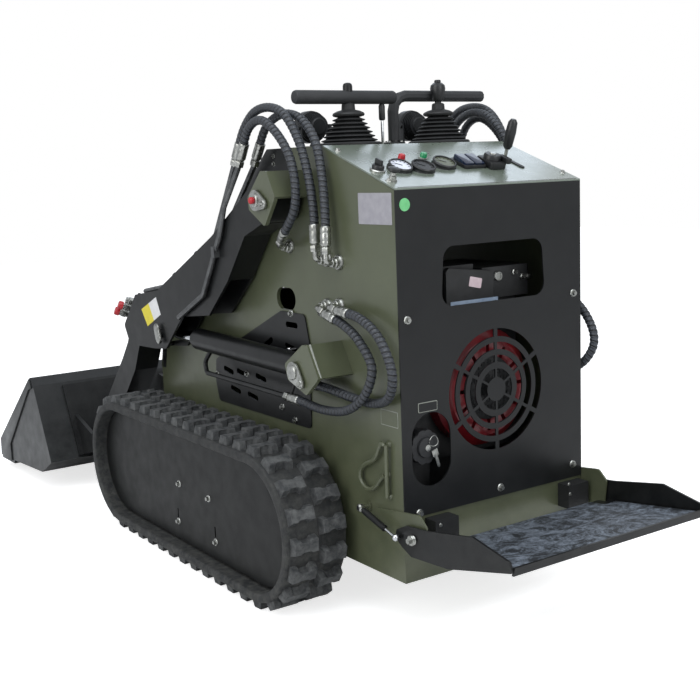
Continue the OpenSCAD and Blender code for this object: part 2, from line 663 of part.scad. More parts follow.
// Bucket: bent shell, end plates, top lip and cutting edge
module bucket() color([0.18, 0.18, 0.19]) placed() union() {
    skin = inset(bucket_outline, bucket_t);
    difference() {
        side_form(bucket_outline, -bucket_w / 2, bucket_w);
        side_form([skin[0], skin[1] + [-20, 30], skin[2] + [-60, 40], skin[3] + [-60, 0], skin[4], skin[5]],
            -bucket_w / 2 + bucket_t, bucket_w - 2 * bucket_t);
    }
    side_form([for (p = [[0, -7], [0, 0], [152, 10], [152, -4]]) bucket_outline[3] + p], -bucket_w / 2, bucket_w);
}

// Folding step for the driver
module step() color([0.15, 0.15, 0.16]) placed() {
    difference() {
        union() {
            for (s = [-1, 1]) mirrored(s)
                side_form(eased(step_side, 5), step_half, step_t);
            difference() {
                union() {
                    side_form([[64, 243], [64, 237], [385, 279], [385, 285]], -step_half, step_w);
                    side_form([[64, 228], [70, 228], [70, 243], [64, 243]], -step_half, step_w);
                }
                for (s = [-1, 1]) mirrored(s)
                    box([half_w - run, step_half], [60, step_pivot.x + step_notch], [220, 262]);
            }
            side_form([[379, 272], [385, 272], step_lip, step_lip - [6, 0]], -step_half, step_w);
        }
        for (s = [-1, 1]) mirrored(s) cross_bar(step_pivot, 10 + fit, step_half - 1, step_half + step_t + 1);
    }
    for (s = [-1, 1]) mirrored(s) cross_bar(strut_low, 5, step_half, strut_x - 9.5);
}

// Gas struts of the step
strut_barrel_l = 104;
module strut_barrel(side) color([0.15, 0.15, 0.16]) placed() mirrored(side)
    aimed(strut_x, strut_top, strut_low) difference() {
        union() {
            sphere(9, $fn = 32);
            cylinder(r = 4, h = 20, $fn = 24);
            translate([0, 0, 16]) cylinder(r = 8, h = strut_barrel_l - 16, $fn = 32);
        }
        translate([0, 0, 26]) cylinder(r = 3.5 + fit, h = strut_barrel_l, $fn = 24);
    }
module strut_rod(side) color("silver") placed() mirrored(side)
    aimed(strut_x, strut_top, strut_low) {
        reach = norm(strut_low - strut_top);
        translate([0, 0, 28]) cylinder(r = 3.5, h = reach - 28, $fn = 24);
        translate([0, 0, reach]) sphere(9, $fn = 32);
    }

// Rubber boots under the two control levers
boot_places = [149, -149];
lever_y = -385;
boot_h = 78;
module lever_boots() color([0.15, 0.15, 0.15]) placed() for (x = boot_places)
    translate([x, lever_y, deck_z]) rotate_extrude($fn = 64) polygon(concat([[0, 0], [84, 0], [84, 8]],
        [for (k = [0:4]) each [[72 - 7 * k, 12 + 12 * k], [76 - 7 * k, 18 + 12 * k]]],
        [[34, 70], [12, boot_h], [0, boot_h]]));

// Control levers with their grips
grip_z = deck_z + grip_rise;
module control_levers() color([0.15, 0.15, 0.15]) placed() {
    translate([boot_places[0], lever_y, deck_z + boot_h]) cylinder(r = 11, h = grip_rise - boot_h, $fn = 32);
    translate([0, lever_y, grip_z]) rotate([0, 90, 0]) cylinder(r = grip_r, h = 314, $fn = 48);
    translate([boot_places[1], lever_y, deck_z + boot_h]) {
        cylinder(r = 11, h = 74, $fn = 32);
        translate([0, 0, 74]) sphere(16, $fn = 32);
    }
    translate([42, lever_y, deck_z]) {
        cylinder(r = 4, h = 60, $fn = 24);
        translate([0, 0, 55]) cylinder(r = 8, h = 42, $fn = 24);
    }
}

// Fixed grab bar on the right of the deck
module grab_bar() color([0.15, 0.15, 0.15]) placed() {
    foot = [-18, lever_y - 31];
    translate([foot.x, foot.y, deck_z]) cylinder(r = 30, h = 6, $fn = 48);
    pipe([[foot.x, foot.y, deck_z], [foot.x, foot.y, grip_z + 6], [foot.x - 312, foot.y, grip_z + 6]],
        grip_r, 40, [0, 1, 0]);
}

// Switches, gauges and lamps on the dash
module on_dash(x, y) {
    translate([x, y, rear_top_z + (deck_z - rear_top_z) * y / deck_back])
        rotate([dash_slope * -1, 0, 0]) children();
}
module dash_controls() color([0.12, 0.12, 0.12]) placed() {
    for (g = [95, 34, -37]) on_dash(g, -150) difference() {
        cylinder(r = 30, h = 20, $fn = 48);
        translate([0, 0, 16]) cylinder(r = 25, h = 6, $fn = 48);
    }
    on_dash(223, -127) cylinder(r = 18, h = 14, $fn = 32);
    on_dash(237, -60) { cylinder(r = 9, h = 20, $fn = 24); translate([0, 0, 16]) cylinder(r = 15, h = 8, $fn = 32); }
    on_dash(51, -207) cylinder(r = 9, h = 10, $fn = 24);
    on_dash(-25, -218) cylinder(r = 9, h = 10, $fn = 24);
    on_dash(-115, -148) translate([-52, -34, 0]) cube([104, 68, 14]);
    on_dash(-218, -120) translate([-26, -30, 0]) cube([52, 60, 34]);
    on_dash(-252, -150) { cylinder(r = 4, h = 60, $fn = 24); translate([0, 0, 46]) cylinder(r = 13, h = 60, $fn = 32); }
}

// Work lamps on the front of the deck
lamp_places = [169, -169];
module work_lamps() color([0.12, 0.12, 0.12]) placed() for (x = lamp_places) {
    translate([x, -520, deck_z]) {
        box([-18, 18], [-10, 10], [0, 16]);
        for (k = [0:4]) translate([0, -14 + 7 * k, 52]) rotate([90, 0, 0]) cylinder(r = 42, h = 3, $fn = 48);
        translate([0, 20, 52]) rotate([90, 0, 0]) cylinder(r = 34, h = 60, $fn = 48);
        box([-6, 6], [-10, 10], [10, 30]);
    }
}

// Oil ports and elbows that the hoses screw on to
module hose_ports(side) color("silver") placed() mirrored(side) {
    for (r = concat(upper_routes, lower_routes)) {
        way = unit(r[0] - r[1]);
        knee = r[0] + 44 * way;
        bar(r[0] + fit * way, knee, 10);
        cross_bar([knee.y, knee.z], 9, half_w, knee.x + 2, 24);
    }
}

module upper_hoses(side) color([0.2, 0.2, 0.2]) placed() mirrored(side)
    for (r = upper_routes) hose(r, hose_r);
module lower_hoses(side) color([0.2, 0.2, 0.2]) placed() mirrored(side)
    for (r = lower_routes) hose(r, hose_r);

side_plate(1);  // side_plate_left
side_plate(-1);  // side_plate_right
belly_pan();
rear_plate();
rear_cover();
dash_panel();
deck_plate();
hood_cover();
vent_cover(1);  // vent_cover_left
vent_cover(-1);  // vent_cover_right
engine();
recoil_cover();
fuel_tank();
pivot_bracket(1);  // pivot_bracket_left
pivot_bracket(-1);  // pivot_bracket_right
ram_bracket(1);  // ram_bracket_left
ram_bracket(-1);  // ram_bracket_right
tie_downs();
step_buffers();
track(1);  // track_left
track(-1);  // track_right
track_frame(1);  // track_frame_left
track_frame(-1);  // track_frame_right
track_wheels(1);  // track_wheels_left
track_wheels(-1);  // track_wheels_right
track_cover(1);  // track_cover_left
track_cover(-1);  // track_cover_right
arm(1);  // arm_left
arm(-1);  // arm_right
arm_crossmember();
arm_pipes(1);  // arm_pipes_left
arm_pipes(-1);  // arm_pipes_right
lift_barrel(1);  // lift_barrel_left
lift_barrel(-1);  // lift_barrel_right
lift_rod(1);  // lift_rod_left
lift_rod(-1);  // lift_rod_right
tilt_barrel();
tilt_rod();
coupler();
bucket();
step();
strut_barrel(1);  // strut_barrel_left
strut_barrel(-1);  // strut_barrel_right
strut_rod(1);  // strut_rod_left
strut_rod(-1);  // strut_rod_right
lever_boots();
control_levers();
grab_bar();
dash_controls();
work_lamps();
hose_ports(1);  // hose_ports_left
hose_ports(-1);  // hose_ports_right
upper_hoses(1);  // upper_hoses_left
upper_hoses(-1);  // upper_hoses_right
lower_hoses(1);  // lower_hoses_left
lower_hoses(-1);  // lower_hoses_right
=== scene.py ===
# A small tracked loader with a folding rear step, dressed from its construction model.
# The machine's left is +X, its rear is +Y. Places are given in millimetres from the rear cover's
# face and from the ground, as in the construction drawing, and at() turns them into metres.
import math

import bmesh
import bpy
from mathutils import Matrix, Vector


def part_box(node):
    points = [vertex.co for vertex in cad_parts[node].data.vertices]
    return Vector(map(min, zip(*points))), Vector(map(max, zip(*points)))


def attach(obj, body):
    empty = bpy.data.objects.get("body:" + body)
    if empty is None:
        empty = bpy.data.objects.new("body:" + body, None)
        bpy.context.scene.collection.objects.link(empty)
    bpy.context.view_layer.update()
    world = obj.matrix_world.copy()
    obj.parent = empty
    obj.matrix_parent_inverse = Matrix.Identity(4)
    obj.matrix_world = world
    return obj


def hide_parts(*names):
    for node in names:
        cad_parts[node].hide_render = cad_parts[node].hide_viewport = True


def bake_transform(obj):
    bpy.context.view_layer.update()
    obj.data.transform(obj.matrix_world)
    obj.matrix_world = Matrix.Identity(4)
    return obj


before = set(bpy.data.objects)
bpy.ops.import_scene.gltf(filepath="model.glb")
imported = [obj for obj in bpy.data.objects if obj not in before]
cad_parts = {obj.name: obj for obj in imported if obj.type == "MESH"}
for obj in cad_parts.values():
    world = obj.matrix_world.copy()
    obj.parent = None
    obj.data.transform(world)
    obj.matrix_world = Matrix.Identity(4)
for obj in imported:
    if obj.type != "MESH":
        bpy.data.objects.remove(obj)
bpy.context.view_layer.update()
print("construction model loaded")

shiftY = 1001.0  # rear cover's face to the middle of the machine's length


def at(x, y, z):
    return Vector((x / 1000, (y + shiftY) / 1000, z / 1000))


# camera first
cameraSetup = {
    "place": (1820.8, 2040.3, 1129.0),
    "azimuth": 145.8,
    "elevation": 9.3,
    "roll": -2.2,
    "focalPixels": 1115.8,
    "framePixels": 700,
}


def makeCamera(setup):
    a, e, r = (math.radians(setup[k]) for k in ("azimuth", "elevation", "roll"))
    back = Vector((math.sin(a) * math.cos(e), -math.cos(a) * math.cos(e), math.sin(e)))
    right = Vector((math.cos(a), math.sin(a), 0))
    up = back.cross(right)
    right, up = math.cos(r) * right + math.sin(r) * up, -math.sin(r) * right + math.cos(r) * up
    data = bpy.data.cameras.new("photoCamera")
    data.sensor_width = 36
    data.lens = 36 * setup["focalPixels"] / setup["framePixels"]
    data.clip_start = 0.05
    data.clip_end = 60
    camera = bpy.data.objects.new("photoCamera", data)
    bpy.context.scene.collection.objects.link(camera)
    turned = Matrix((right, up, back)).transposed().to_4x4()
    camera.matrix_world = Matrix.Translation(at(*setup["place"])) @ turned
    bpy.context.scene.camera = camera


makeCamera(cameraSetup)

# materials


def colour(hexText):
    values = []
    for k in (1, 3, 5):
        c = int(hexText[k:k + 2], 16) / 255
        values.append(c / 12.92 if c <= 0.04045 else ((c + 0.055) / 1.055) ** 2.4)
    return (*values, 1.0)


def addNode(tree, kind, settings=None, links=None):
    node = tree.nodes.new(kind)
    for name, value in (settings or {}).items():
        if isinstance(name, int):
            node.inputs[name].default_value = value
        elif name in node.inputs:
            node.inputs[name].default_value = value
        else:
            setattr(node, name, value)
    for name, source in (links or {}).items():
        tree.links.new(source, node.inputs[name])
    return node


def newMaterial(name):
    material = bpy.data.materials.new(name)
    material.use_nodes = True
    material.node_tree.nodes.clear()
    return material, material.node_tree


def finishMaterial(material, tree, shader):
    addNode(tree, "ShaderNodeOutputMaterial", links={"Surface": shader.outputs[0]})
    material.diffuse_color = shader.inputs["Base Color"].default_value
    return material


def makeSurface(name, recipe):
    # mottle: slow colour change, grain: fine bump, dust: pale film that thins out with height
    material, tree = newMaterial(name)
    place = addNode(tree, "ShaderNodeTexCoord").outputs["Object"]
    mottle = addNode(tree, "ShaderNodeTexNoise", {"Scale": 1000 / recipe.get("mottleMm", 120), "Detail": 6,
        "Roughness": 0.6}, {"Vector": place})
    share = addNode(tree, "ShaderNodeMapRange", {"From Min": 0.35, "From Max": 0.7},
        {"Value": mottle.outputs[0]})
    base = addNode(tree, "ShaderNodeMix", {"data_type": "RGBA", 6: colour(recipe["colour"]),
        7: colour(recipe.get("tint", recipe["colour"]))}, {0: share.outputs[0]}).outputs[2]
    if "dust" in recipe:
        dust = recipe["dust"]
        height = addNode(tree, "ShaderNodeSeparateXYZ", links={0: place}).outputs[2]
        fade = addNode(tree, "ShaderNodeMapRange", {"From Min": dust["lowMm"] / 1000,
            "From Max": dust["highMm"] / 1000, "To Min": dust["share"], "To Max": dust.get("topShare", 0)},
            {"Value": height})
        cloud = addNode(tree, "ShaderNodeTexNoise", {"Scale": 1000 / dust.get("cloudMm", 60), "Detail": 8,
            "Roughness": 0.7}, {"Vector": place})
        sharp = addNode(tree, "ShaderNodeMapRange", {"From Min": 0.38, "From Max": 0.72},
            {"Value": cloud.outputs[0]})
        amount = addNode(tree, "ShaderNodeMath", {"operation": "MULTIPLY"},
            {0: fade.outputs[0], 1: sharp.outputs[0]})
        base = addNode(tree, "ShaderNodeMix", {"data_type": "RGBA", 7: colour(dust["colour"])},
            {0: amount.outputs[0], 6: base}).outputs[2]
    polish = addNode(tree, "ShaderNodeTexNoise", {"Scale": 1000 / recipe.get("polishMm", 45), "Detail": 5},
        {"Vector": place})
    rough, spread = recipe["roughness"], recipe.get("roughSpread", 0.06)
    roughness = addNode(tree, "ShaderNodeMapRange", {"From Min": 0.3, "From Max": 0.7,
        "To Min": rough - spread, "To Max": rough + spread}, {"Value": polish.outputs[0]})
    grain = addNode(tree, "ShaderNodeTexNoise", {"Scale": 1000 / recipe.get("grainMm", 3), "Detail": 3},
        {"Vector": place})
    bump = addNode(tree, "ShaderNodeBump", {"Strength": recipe.get("grainStrength", 0.3),
        "Distance": recipe.get("grainDepthMm", 0.1) / 1000}, {"Height": grain.outputs[0]})
    shader = addNode(tree, "ShaderNodeBsdfPrincipled",
        {"Metallic": recipe.get("metallic", 0.0), "IOR": recipe.get("ior", 1.5),
        "Coat Weight": recipe.get("coat", 0.0), "Coat IOR": recipe.get("coatIor", 1.5),
        "Coat Roughness": recipe.get("coatRoughness", 0.1)},
        {"Base Color": base, "Roughness": roughness.outputs[0], "Normal": bump.outputs[0]})
    return finishMaterial(material, tree, shader)


oliveDust = {"colour": "#77765f", "lowMm": 130, "highMm": 700, "share": 0.22, "topShare": 0.03}
blackDust = {"colour": "#5c5d5b", "lowMm": 0, "highMm": 700, "share": 0.14, "topShare": 0.03}


def recipeFor(colour, tint, mottleMm, roughness, grainMm, grainDepthMm, **more):
    return dict(more, colour=colour, tint=tint, mottleMm=mottleMm, roughness=roughness, grainMm=grainMm,
        grainDepthMm=grainDepthMm)


# two colours, size of their patches, roughness, size and depth of the grain in mm, and what else applies
finishes = {
    # sprayed enamel over welded plate: satin gloss, faint orange peel, dust low down
    "oliveEnamel": recipeFor("#4f5440", "#464b38", 260, 0.36, 4, 0.15, coat=0.25, coatRoughness=0.2,
        grainStrength=0.25, dust=oliveDust),
    # sprayed black enamel on the arm, frames and cylinders
    "blackEnamel": recipeFor("#0d0e0f", "#121314", 180, 0.36, 3.5, 0.15, ior=1.33, coat=0.12,
        coatRoughness=0.25, dust=blackDust),
    # thin black enamel on the pressed plates inside the tracks
    "trackCoverEnamel": recipeFor("#090a0a", "#0f1010", 90, 0.42, 3.5, 0.1, ior=1.3,
        dust={"colour": "#464744", "lowMm": 0, "highMm": 300, "share": 0.16, "topShare": 0.05}),
    # flat bolted sheets, smooth powder coat that mirrors the light softly
    "blackPowderCoat": recipeFor("#111213", "#161718", 300, 0.34, 2.5, 0.02, ior=1.42, roughSpread=0.04,
        grainStrength=0.15, dust={"colour": "#4c4d4c", "lowMm": 150, "highMm": 900, "share": 0.1,
            "topShare": 0.02, "cloudMm": 140}),
    # enamel on the sloping panel, polished by hands, so it mirrors the sky
    "panelEnamel": recipeFor("#6a7468", "#636c62", 260, 0.3, 5, 0.02,
        coat=1.0, coatRoughness=0.2, coatIor=1.75),
    # scuffed black enamel on the bucket
    "bucketEnamel": recipeFor("#111314", "#1b1d1e", 140, 0.38, 3.5, 0.2, ior=1.4, coat=0.2,
        dust={"colour": "#6d6e6e", "lowMm": 0, "highMm": 300, "share": 0.25, "topShare": 0.06}),
    # bright zinc plate on fittings and screws
    "brightZinc": recipeFor("#b9bab6", "#8f908b", 14, 0.3, 1.5, 0.05, roughSpread=0.1, metallic=1.0),
    # ground and chromed rods
    "hardChrome": recipeFor("#d6d8da", "#c9cccf", 60, 0.1, 1, 0.01, roughSpread=0.03, metallic=1.0),
    # bare drawn tube of the arm's oil pipes
    "pipeSteel": recipeFor("#6f7071", "#4d4e4f", 30, 0.38, 2, 0.05, roughSpread=0.1, metallic=0.9),
    # faded paint on the labels' rims, and the engine's blank name strip
    "rimFilm": recipeFor("#8d9088", "#7d8078", 12, 0.45, 1, 0.02),
    "blueFilm": recipeFor("#9fb0c4", "#8a9cb4", 18, 0.3, 1, 0.02, coat=0.5),
    # pale steel for a thin strip that is a painted highlight along the panel's rear edge
    "wornSteel": recipeFor("#7d7c78", "#5d5a55", 25, 0.45, 2, 0.15, roughSpread=0.12, metallic=0.85),
    # moulded rubber: dark, matte, faint bloom
    "trackRubber": recipeFor("#141618", "#1c1e20", 40, 0.72, 2.2, 0.5, roughSpread=0.1, grainStrength=0.6,
        dust={"colour": "#77766f", "lowMm": 0, "highMm": 420, "share": 0.3, "topShare": 0.14, "cloudMm": 22}),
    "lugRubber": recipeFor("#242628", "#333537", 40, 0.7, 2.2, 0.4, roughSpread=0.1, grainStrength=0.5,
        dust={"colour": "#7e7f7e", "lowMm": 0, "highMm": 440, "share": 0.55, "topShare": 0.45,
            "cloudMm": 26}),
    "mouldedRubber": recipeFor("#151617", "#1c1d1e", 30, 0.58, 1.5, 0.15),
    # soft rubber grips and the fuel cap
    "gripRubber": recipeFor("#232426", "#2b2c2e", 40, 0.62, 1.2, 0.2),
    # moulded knobs, bezels and switch bodies
    "absPlastic": recipeFor("#161718", "#1c1d1f", 40, 0.38, 1, 0.08),
    # rough black castings of the engine and the tank
    "castBlack": recipeFor("#18191a", "#242526", 35, 0.55, 2.5, 0.5, grainStrength=0.6),
    # sprayed red recoil cover, then glossy caps, lamps and rockers
    "redCover": recipeFor("#74151d", "#5c1017", 80, 0.35, 3, 0.1, coat=0.3),
    "redPlastic": recipeFor("#b01c26", "#9c1a22", 10, 0.35, 1, 0.05),
    "greenPlastic": recipeFor("#1f8f5a", "#1b7f50", 10, 0.25, 1, 0.03, coat=0.6),
    "bluePlastic": recipeFor("#0f1a30", "#14213c", 10, 0.3, 1, 0.03, coat=0.5),
    # printed film: blank plates and stickers
    "silverFilm": recipeFor("#a9a7ad", "#9a98a0", 20, 0.35, 1, 0.02, metallic=0.4),
    "whiteFilm": recipeFor("#dcdcdc", "#cfcfd2", 15, 0.35, 1, 0.02),
    "yellowFilm": recipeFor("#d8c92c", "#cdbd28", 15, 0.4, 1, 0.02),
    "greenFilm": recipeFor("#6fbf7f", "#5fb070", 12, 0.4, 1, 0.02),
    "pinkFilm": recipeFor("#d9c6cb", "#cdb6bd", 9, 0.4, 1, 0.02),
    # gauge behind clear glass, lamp lens, and the lamps' cast housing
    "dialFace": recipeFor("#c9ccd6", "#b9bdcb", 25, 0.3, 1, 0.01, coat=1.0, coatRoughness=0.03),
    "lampLens": recipeFor("#e6ebef", "#d5dde3", 6, 0.12, 5, 0.4, coat=1.0),
    "alloyFins": recipeFor("#26282a", "#1e2022", 20, 0.45, 1.2, 0.1, metallic=0.3),
}
materials = {name: makeSurface(name, recipe) for name, recipe in finishes.items()}


guardPitch = 13.0  # one turn of the hoses' spiral guard in mm


def makeHoseMaterial():
    # rubber hose in a spiral plastic guard
    material, tree = newMaterial("spiralGuard")
    around = addNode(tree, "ShaderNodeSeparateXYZ", links={0: addNode(tree, "ShaderNodeUVMap",
        {"uv_map": "along"}).outputs[0]})
    turns = addNode(tree, "ShaderNodeMath", {"operation": "MULTIPLY_ADD", 1: 1000 / guardPitch},
        {0: around.outputs[1], 2: around.outputs[0]})
    wave = addNode(tree, "ShaderNodeMath", {"operation": "PINGPONG", 1: 0.5}, {0: turns.outputs[0]})
    groove = addNode(tree, "ShaderNodeMapRange", {"From Min": 0.04, "From Max": 0.2},
        {"Value": wave.outputs[0]})
    worn = addNode(tree, "ShaderNodeTexNoise", {"Scale": 70.0, "Detail": 5},
        {"Vector": addNode(tree, "ShaderNodeTexCoord").outputs["Object"]})
    guard = addNode(tree, "ShaderNodeMix", {"data_type": "RGBA", 6: colour("#2a2d32"), 7: colour("#3d4148")},
        {0: worn.outputs[0]})
    base = addNode(tree, "ShaderNodeMix", {"data_type": "RGBA", 6: colour("#08090a")},
        {0: groove.outputs[0], 7: guard.outputs[2]})
    bump = addNode(tree, "ShaderNodeBump", {"Strength": 1.0, "Distance": 0.002},
        {"Height": groove.outputs[0]})
    shader = addNode(tree, "ShaderNodeBsdfPrincipled", {"Roughness": 0.42},
        {"Base Color": base.outputs[2], "Normal": bump.outputs[0]})
    return finishMaterial(material, tree, shader)


def makeMatMaterial():
    # ribbed rubber mat, worn and dusty in the middle
    material, tree = newMaterial("dustyMat")
    place = addNode(tree, "ShaderNodeTexCoord").outputs["Object"]
    smear = addNode(tree, "ShaderNodeTexNoise", {"Scale": 11.0, "Detail": 10, "Roughness": 0.72,
        "Distortion": 2.6}, {"Vector": place})
    fine = addNode(tree, "ShaderNodeTexNoise", {"Scale": 160.0, "Detail": 6}, {"Vector": place})
    mixed = addNode(tree, "ShaderNodeMath", {"operation": "MULTIPLY_ADD", 1: 0.3},
        {0: fine.outputs[0], 2: smear.outputs[0]})
    share = addNode(tree, "ShaderNodeMapRange", {"From Min": 0.58, "From Max": 0.8},
        {"Value": mixed.outputs[0]})
    base = addNode(tree, "ShaderNodeMix", {"data_type": "RGBA", 6: colour("#1b1f24"), 7: colour("#737c88")},
        {0: share.outputs[0]})
    bump = addNode(tree, "ShaderNodeBump", {"Strength": 0.6, "Distance": 0.0008},
        {"Height": mixed.outputs[0]})
    shader = addNode(tree, "ShaderNodeBsdfPrincipled", {"Roughness": 0.62},
        {"Base Color": base.outputs[2], "Normal": bump.outputs[0]})
    return finishMaterial(material, tree, shader)


materials["spiralGuard"] = makeHoseMaterial()
materials["dustyMat"] = makeMatMaterial()
print("materials made:", len(materials))

# the construction solids that stay get their finish
nodeFinishes = {
    "oliveEnamel": ["side_plate_left", "side_plate_right", "belly_pan", "rear_plate", "deck_plate",
        "pivot_bracket_left", "pivot_bracket_right", "ram_bracket_left", "ram_bracket_right"],
    "blackPowderCoat": ["rear_cover", "hood_cover", "vent_cover_left", "vent_cover_right"],
    "trackCoverEnamel": ["track_cover_left", "track_cover_right"],
    "panelEnamel": ["dash_panel"],
    "blackEnamel": ["track_frame_left", "track_frame_right", "track_wheels_left", "track_wheels_right",
        "arm_left", "arm_right", "arm_crossmember", "lift_barrel_left", "lift_barrel_right",
        "tilt_barrel", "coupler", "step", "strut_barrel_left", "strut_barrel_right"],
    "bucketEnamel": ["bucket"],
    "pipeSteel": ["arm_pipes_left", "arm_pipes_right"],
    "hardChrome": ["lift_rod_left", "lift_rod_right", "tilt_rod", "strut_rod_left", "strut_rod_right"],
    "trackRubber": ["track_left", "track_right"],
    "mouldedRubber": ["step_buffers"],
    "castBlack": ["engine", "fuel_tank"],
    "redCover": ["recoil_cover"],
    "gripRubber": ["grab_bar"],
}
for finish, names in nodeFinishes.items():
    for name in names:
        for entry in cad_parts[name].material_slots:
            entry.material = materials[finish]

# tools for making pieces


def keep(obj, body, finish, smooth=True):
    obj.data.materials.clear()
    obj.data.materials.append(materials[finish])
    for face in obj.data.polygons:
        face.use_smooth = smooth
    if smooth:
        obj.data.set_sharp_from_angle(angle=math.radians(35))
    if body:
        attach(obj, body)
    return obj


def objectFrom(bm, name):
    bmesh.ops.remove_doubles(bm, verts=bm.verts, dist=1e-6)
    bmesh.ops.recalc_face_normals(bm, faces=bm.faces)
    mesh = bpy.data.meshes.new(name)
    bm.to_mesh(mesh)
    bm.free()
    obj = bpy.data.objects.new(name, mesh)
    bpy.context.scene.collection.objects.link(obj)
    return obj


def build(bm, name, body, finish, smooth=True):
    return keep(objectFrom(bm, name), body, finish, smooth)


def roundTurn(count):
    return [2 * math.pi * k / count for k in range(count)]


def turnTo(direction):
    return direction.to_track_quat("Z", "Y").to_matrix().to_4x4()


def addLathe(bm, profile, base, direction, sides=32, turn=0.0):
    # profile: (radius, height) in mm along direction from base, closed on the axis at both ends
    matrix = Matrix.Translation(base) @ turnTo(Vector(direction)) @ Matrix.Rotation(turn, 4, "Z")
    rings = []
    for radius, height in profile:
        if radius < 1e-6:
            rings.append([bm.verts.new(matrix @ Vector((0, 0, height / 1000)))])
        else:
            r, h = radius / 1000, height / 1000
            rings.append([bm.verts.new(matrix @ Vector((r * math.cos(t), r * math.sin(t), h)))
                for t in roundTurn(sides)])
    for low, high in zip(rings, rings[1:]):
        for k in range(sides):
            corners = [ring[j % len(ring)] for ring, j in ((low, k), (low, k + 1), (high, k + 1), (high, k))]
            unique = list(dict.fromkeys(corners))
            if len(unique) > 2:
                bm.faces.new(unique)


def addTube(bm, points, radius, sides=16):
    # a round bar along points already in metres
    last = len(points) - 1
    tangents = [(points[min(i + 1, last)] - points[max(i - 1, 0)]).normalized() for i in range(last + 1)]
    side = tangents[0].orthogonal().normalized()
    rings = []
    for point, tangent in zip(points, tangents):
        side = (side - side.dot(tangent) * tangent).normalized()
        other = tangent.cross(side)
        rings.append([bm.verts.new(point + radius * (side * math.cos(t) + other * math.sin(t)))
            for t in roundTurn(sides)])
    for low, high in zip(rings, rings[1:]):
        for k in range(sides):
            bm.faces.new((low[k], low[(k + 1) % sides], high[(k + 1) % sides], high[k]))
    bm.faces.new(rings[0][::-1])
    bm.faces.new(rings[-1])


def addSlab(bm, outline, matrix, thick, bevel=0.0):
    # an outline in mm on the matrix's XY plane, thick along its Z, with its rims rounded
    part = bmesh.new()
    low = [part.verts.new(Vector((x / 1000, y / 1000, 0))) for x, y in outline]
    face = part.faces.new(low)
    made = bmesh.ops.extrude_face_region(part, geom=[face])
    bmesh.ops.translate(part, vec=(0, 0, thick / 1000),
        verts=[v for v in made["geom"] if isinstance(v, bmesh.types.BMVert)])
    bmesh.ops.recalc_face_normals(part, faces=part.faces)
    if bevel:
        bmesh.ops.bevel(part, geom=list(part.edges), offset=bevel / 1000, segments=2, affect="EDGES",
            profile=0.6)
    part.transform(matrix)
    temp = bpy.data.meshes.new("temp")
    part.to_mesh(temp)
    part.free()
    bm.from_mesh(temp)
    bpy.data.meshes.remove(temp)


def rectangle(width, height):
    return [(-width / 2, -height / 2), (width / 2, -height / 2), (width / 2, height / 2),
        (-width / 2, height / 2)]


def rounded(outline, radius, steps=4):
    # an outline with its corners rounded
    result = []
    count = len(outline)
    for i, corner in enumerate(outline):
        b = Vector(corner)
        u = (Vector(outline[i - 1]) - b).normalized()
        v = (Vector(outline[(i + 1) % count]) - b).normalized()
        half = math.acos(max(-1, min(1, u.dot(v)))) / 2
        centre = b + (u + v).normalized() * radius / math.sin(half)
        start, stop = b + u * radius / math.tan(half) - centre, b + v * radius / math.tan(half) - centre
        turn = math.pi - 2 * half
        for k in range(steps + 1):
            before, after = math.sin(turn * (1 - k / steps)), math.sin(turn * k / steps)
            w = (start * before + stop * after) / math.sin(turn)
            result.append(tuple(centre + w))
    return result


def sideMatrix(x, y, z, sideSign=1, turn=0.0):
    # local X to the rear, local Y up, local Z outwards from the machine's left or right side
    place = Matrix.Translation(at(sideSign * x, y, z))
    axes = Matrix(((0, 0, sideSign), (1, 0, 0), (0, 1, 0))).to_4x4()
    return place @ axes @ Matrix.Rotation(turn, 4, "Z")


def rearMatrix(x, z, y=0.0, turn=0.0):
    # local X to the machine's right, local Y up, local Z out of the rear cover
    axes = Matrix(((-1, 0, 0), (0, 0, 1), (0, 1, 0))).to_4x4()
    return Matrix.Translation(at(x, y, z)) @ axes @ Matrix.Rotation(turn, 4, "Z")


deckZ, coverTopZ, dashLength = 1184, 1078, 290
dashSlope = math.atan2(deckZ - coverTopZ, dashLength)


def dashZ(y):
    return coverTopZ - (deckZ - coverTopZ) * y / dashLength


def dashMatrix(x, y, turn=0.0):
    # local X to the right, local Y up the slope, local Z out of the panel
    axes = Matrix(((-1, 0, 0), (0, -1, 0), (0, 0, 1))).to_4x4()
    place = Matrix.Translation(at(x, y, dashZ(y))) @ Matrix.Rotation(-dashSlope, 4, "X")
    return place @ axes @ Matrix.Rotation(turn, 4, "Z")


def dashPlace(x, y, turn=0.0):
    m = dashMatrix(x, y, turn)
    return m, m.translation, m.to_3x3() @ Vector((0, 0, 1))


def smoothRoute(points, stepMm):
    # a smooth curve through the points, sampled at even steps
    route = [Vector(p) for p in points]
    ends = [2 * route[0] - route[1]] + route + [2 * route[-1] - route[-2]]
    dense = []
    for i in range(1, len(ends) - 2):
        p0, p1, p2, p3 = ends[i - 1:i + 3]
        for k in range(40):
            t = k / 40
            square, cube = 2 * p0 - 5 * p1 + 4 * p2 - p3, 3 * p1 - p0 - 3 * p2 + p3
            dense.append(0.5 * ((2 * p1) + (p2 - p0) * t + square * t * t + cube * t ** 3))
    dense.append(route[-1])
    lengths = [0.0]
    for a, b in zip(dense, dense[1:]):
        lengths.append(lengths[-1] + (b - a).length)
    count = max(2, round(lengths[-1] * 1000 / stepMm))
    result, j = [], 0
    for k in range(count + 1):
        want = lengths[-1] * k / count
        while j < len(lengths) - 2 and lengths[j + 1] < want:
            j += 1
        share = (want - lengths[j]) / max(1e-9, lengths[j + 1] - lengths[j])
        result.append(dense[j].lerp(dense[j + 1], min(1, max(0, share))))
    return result


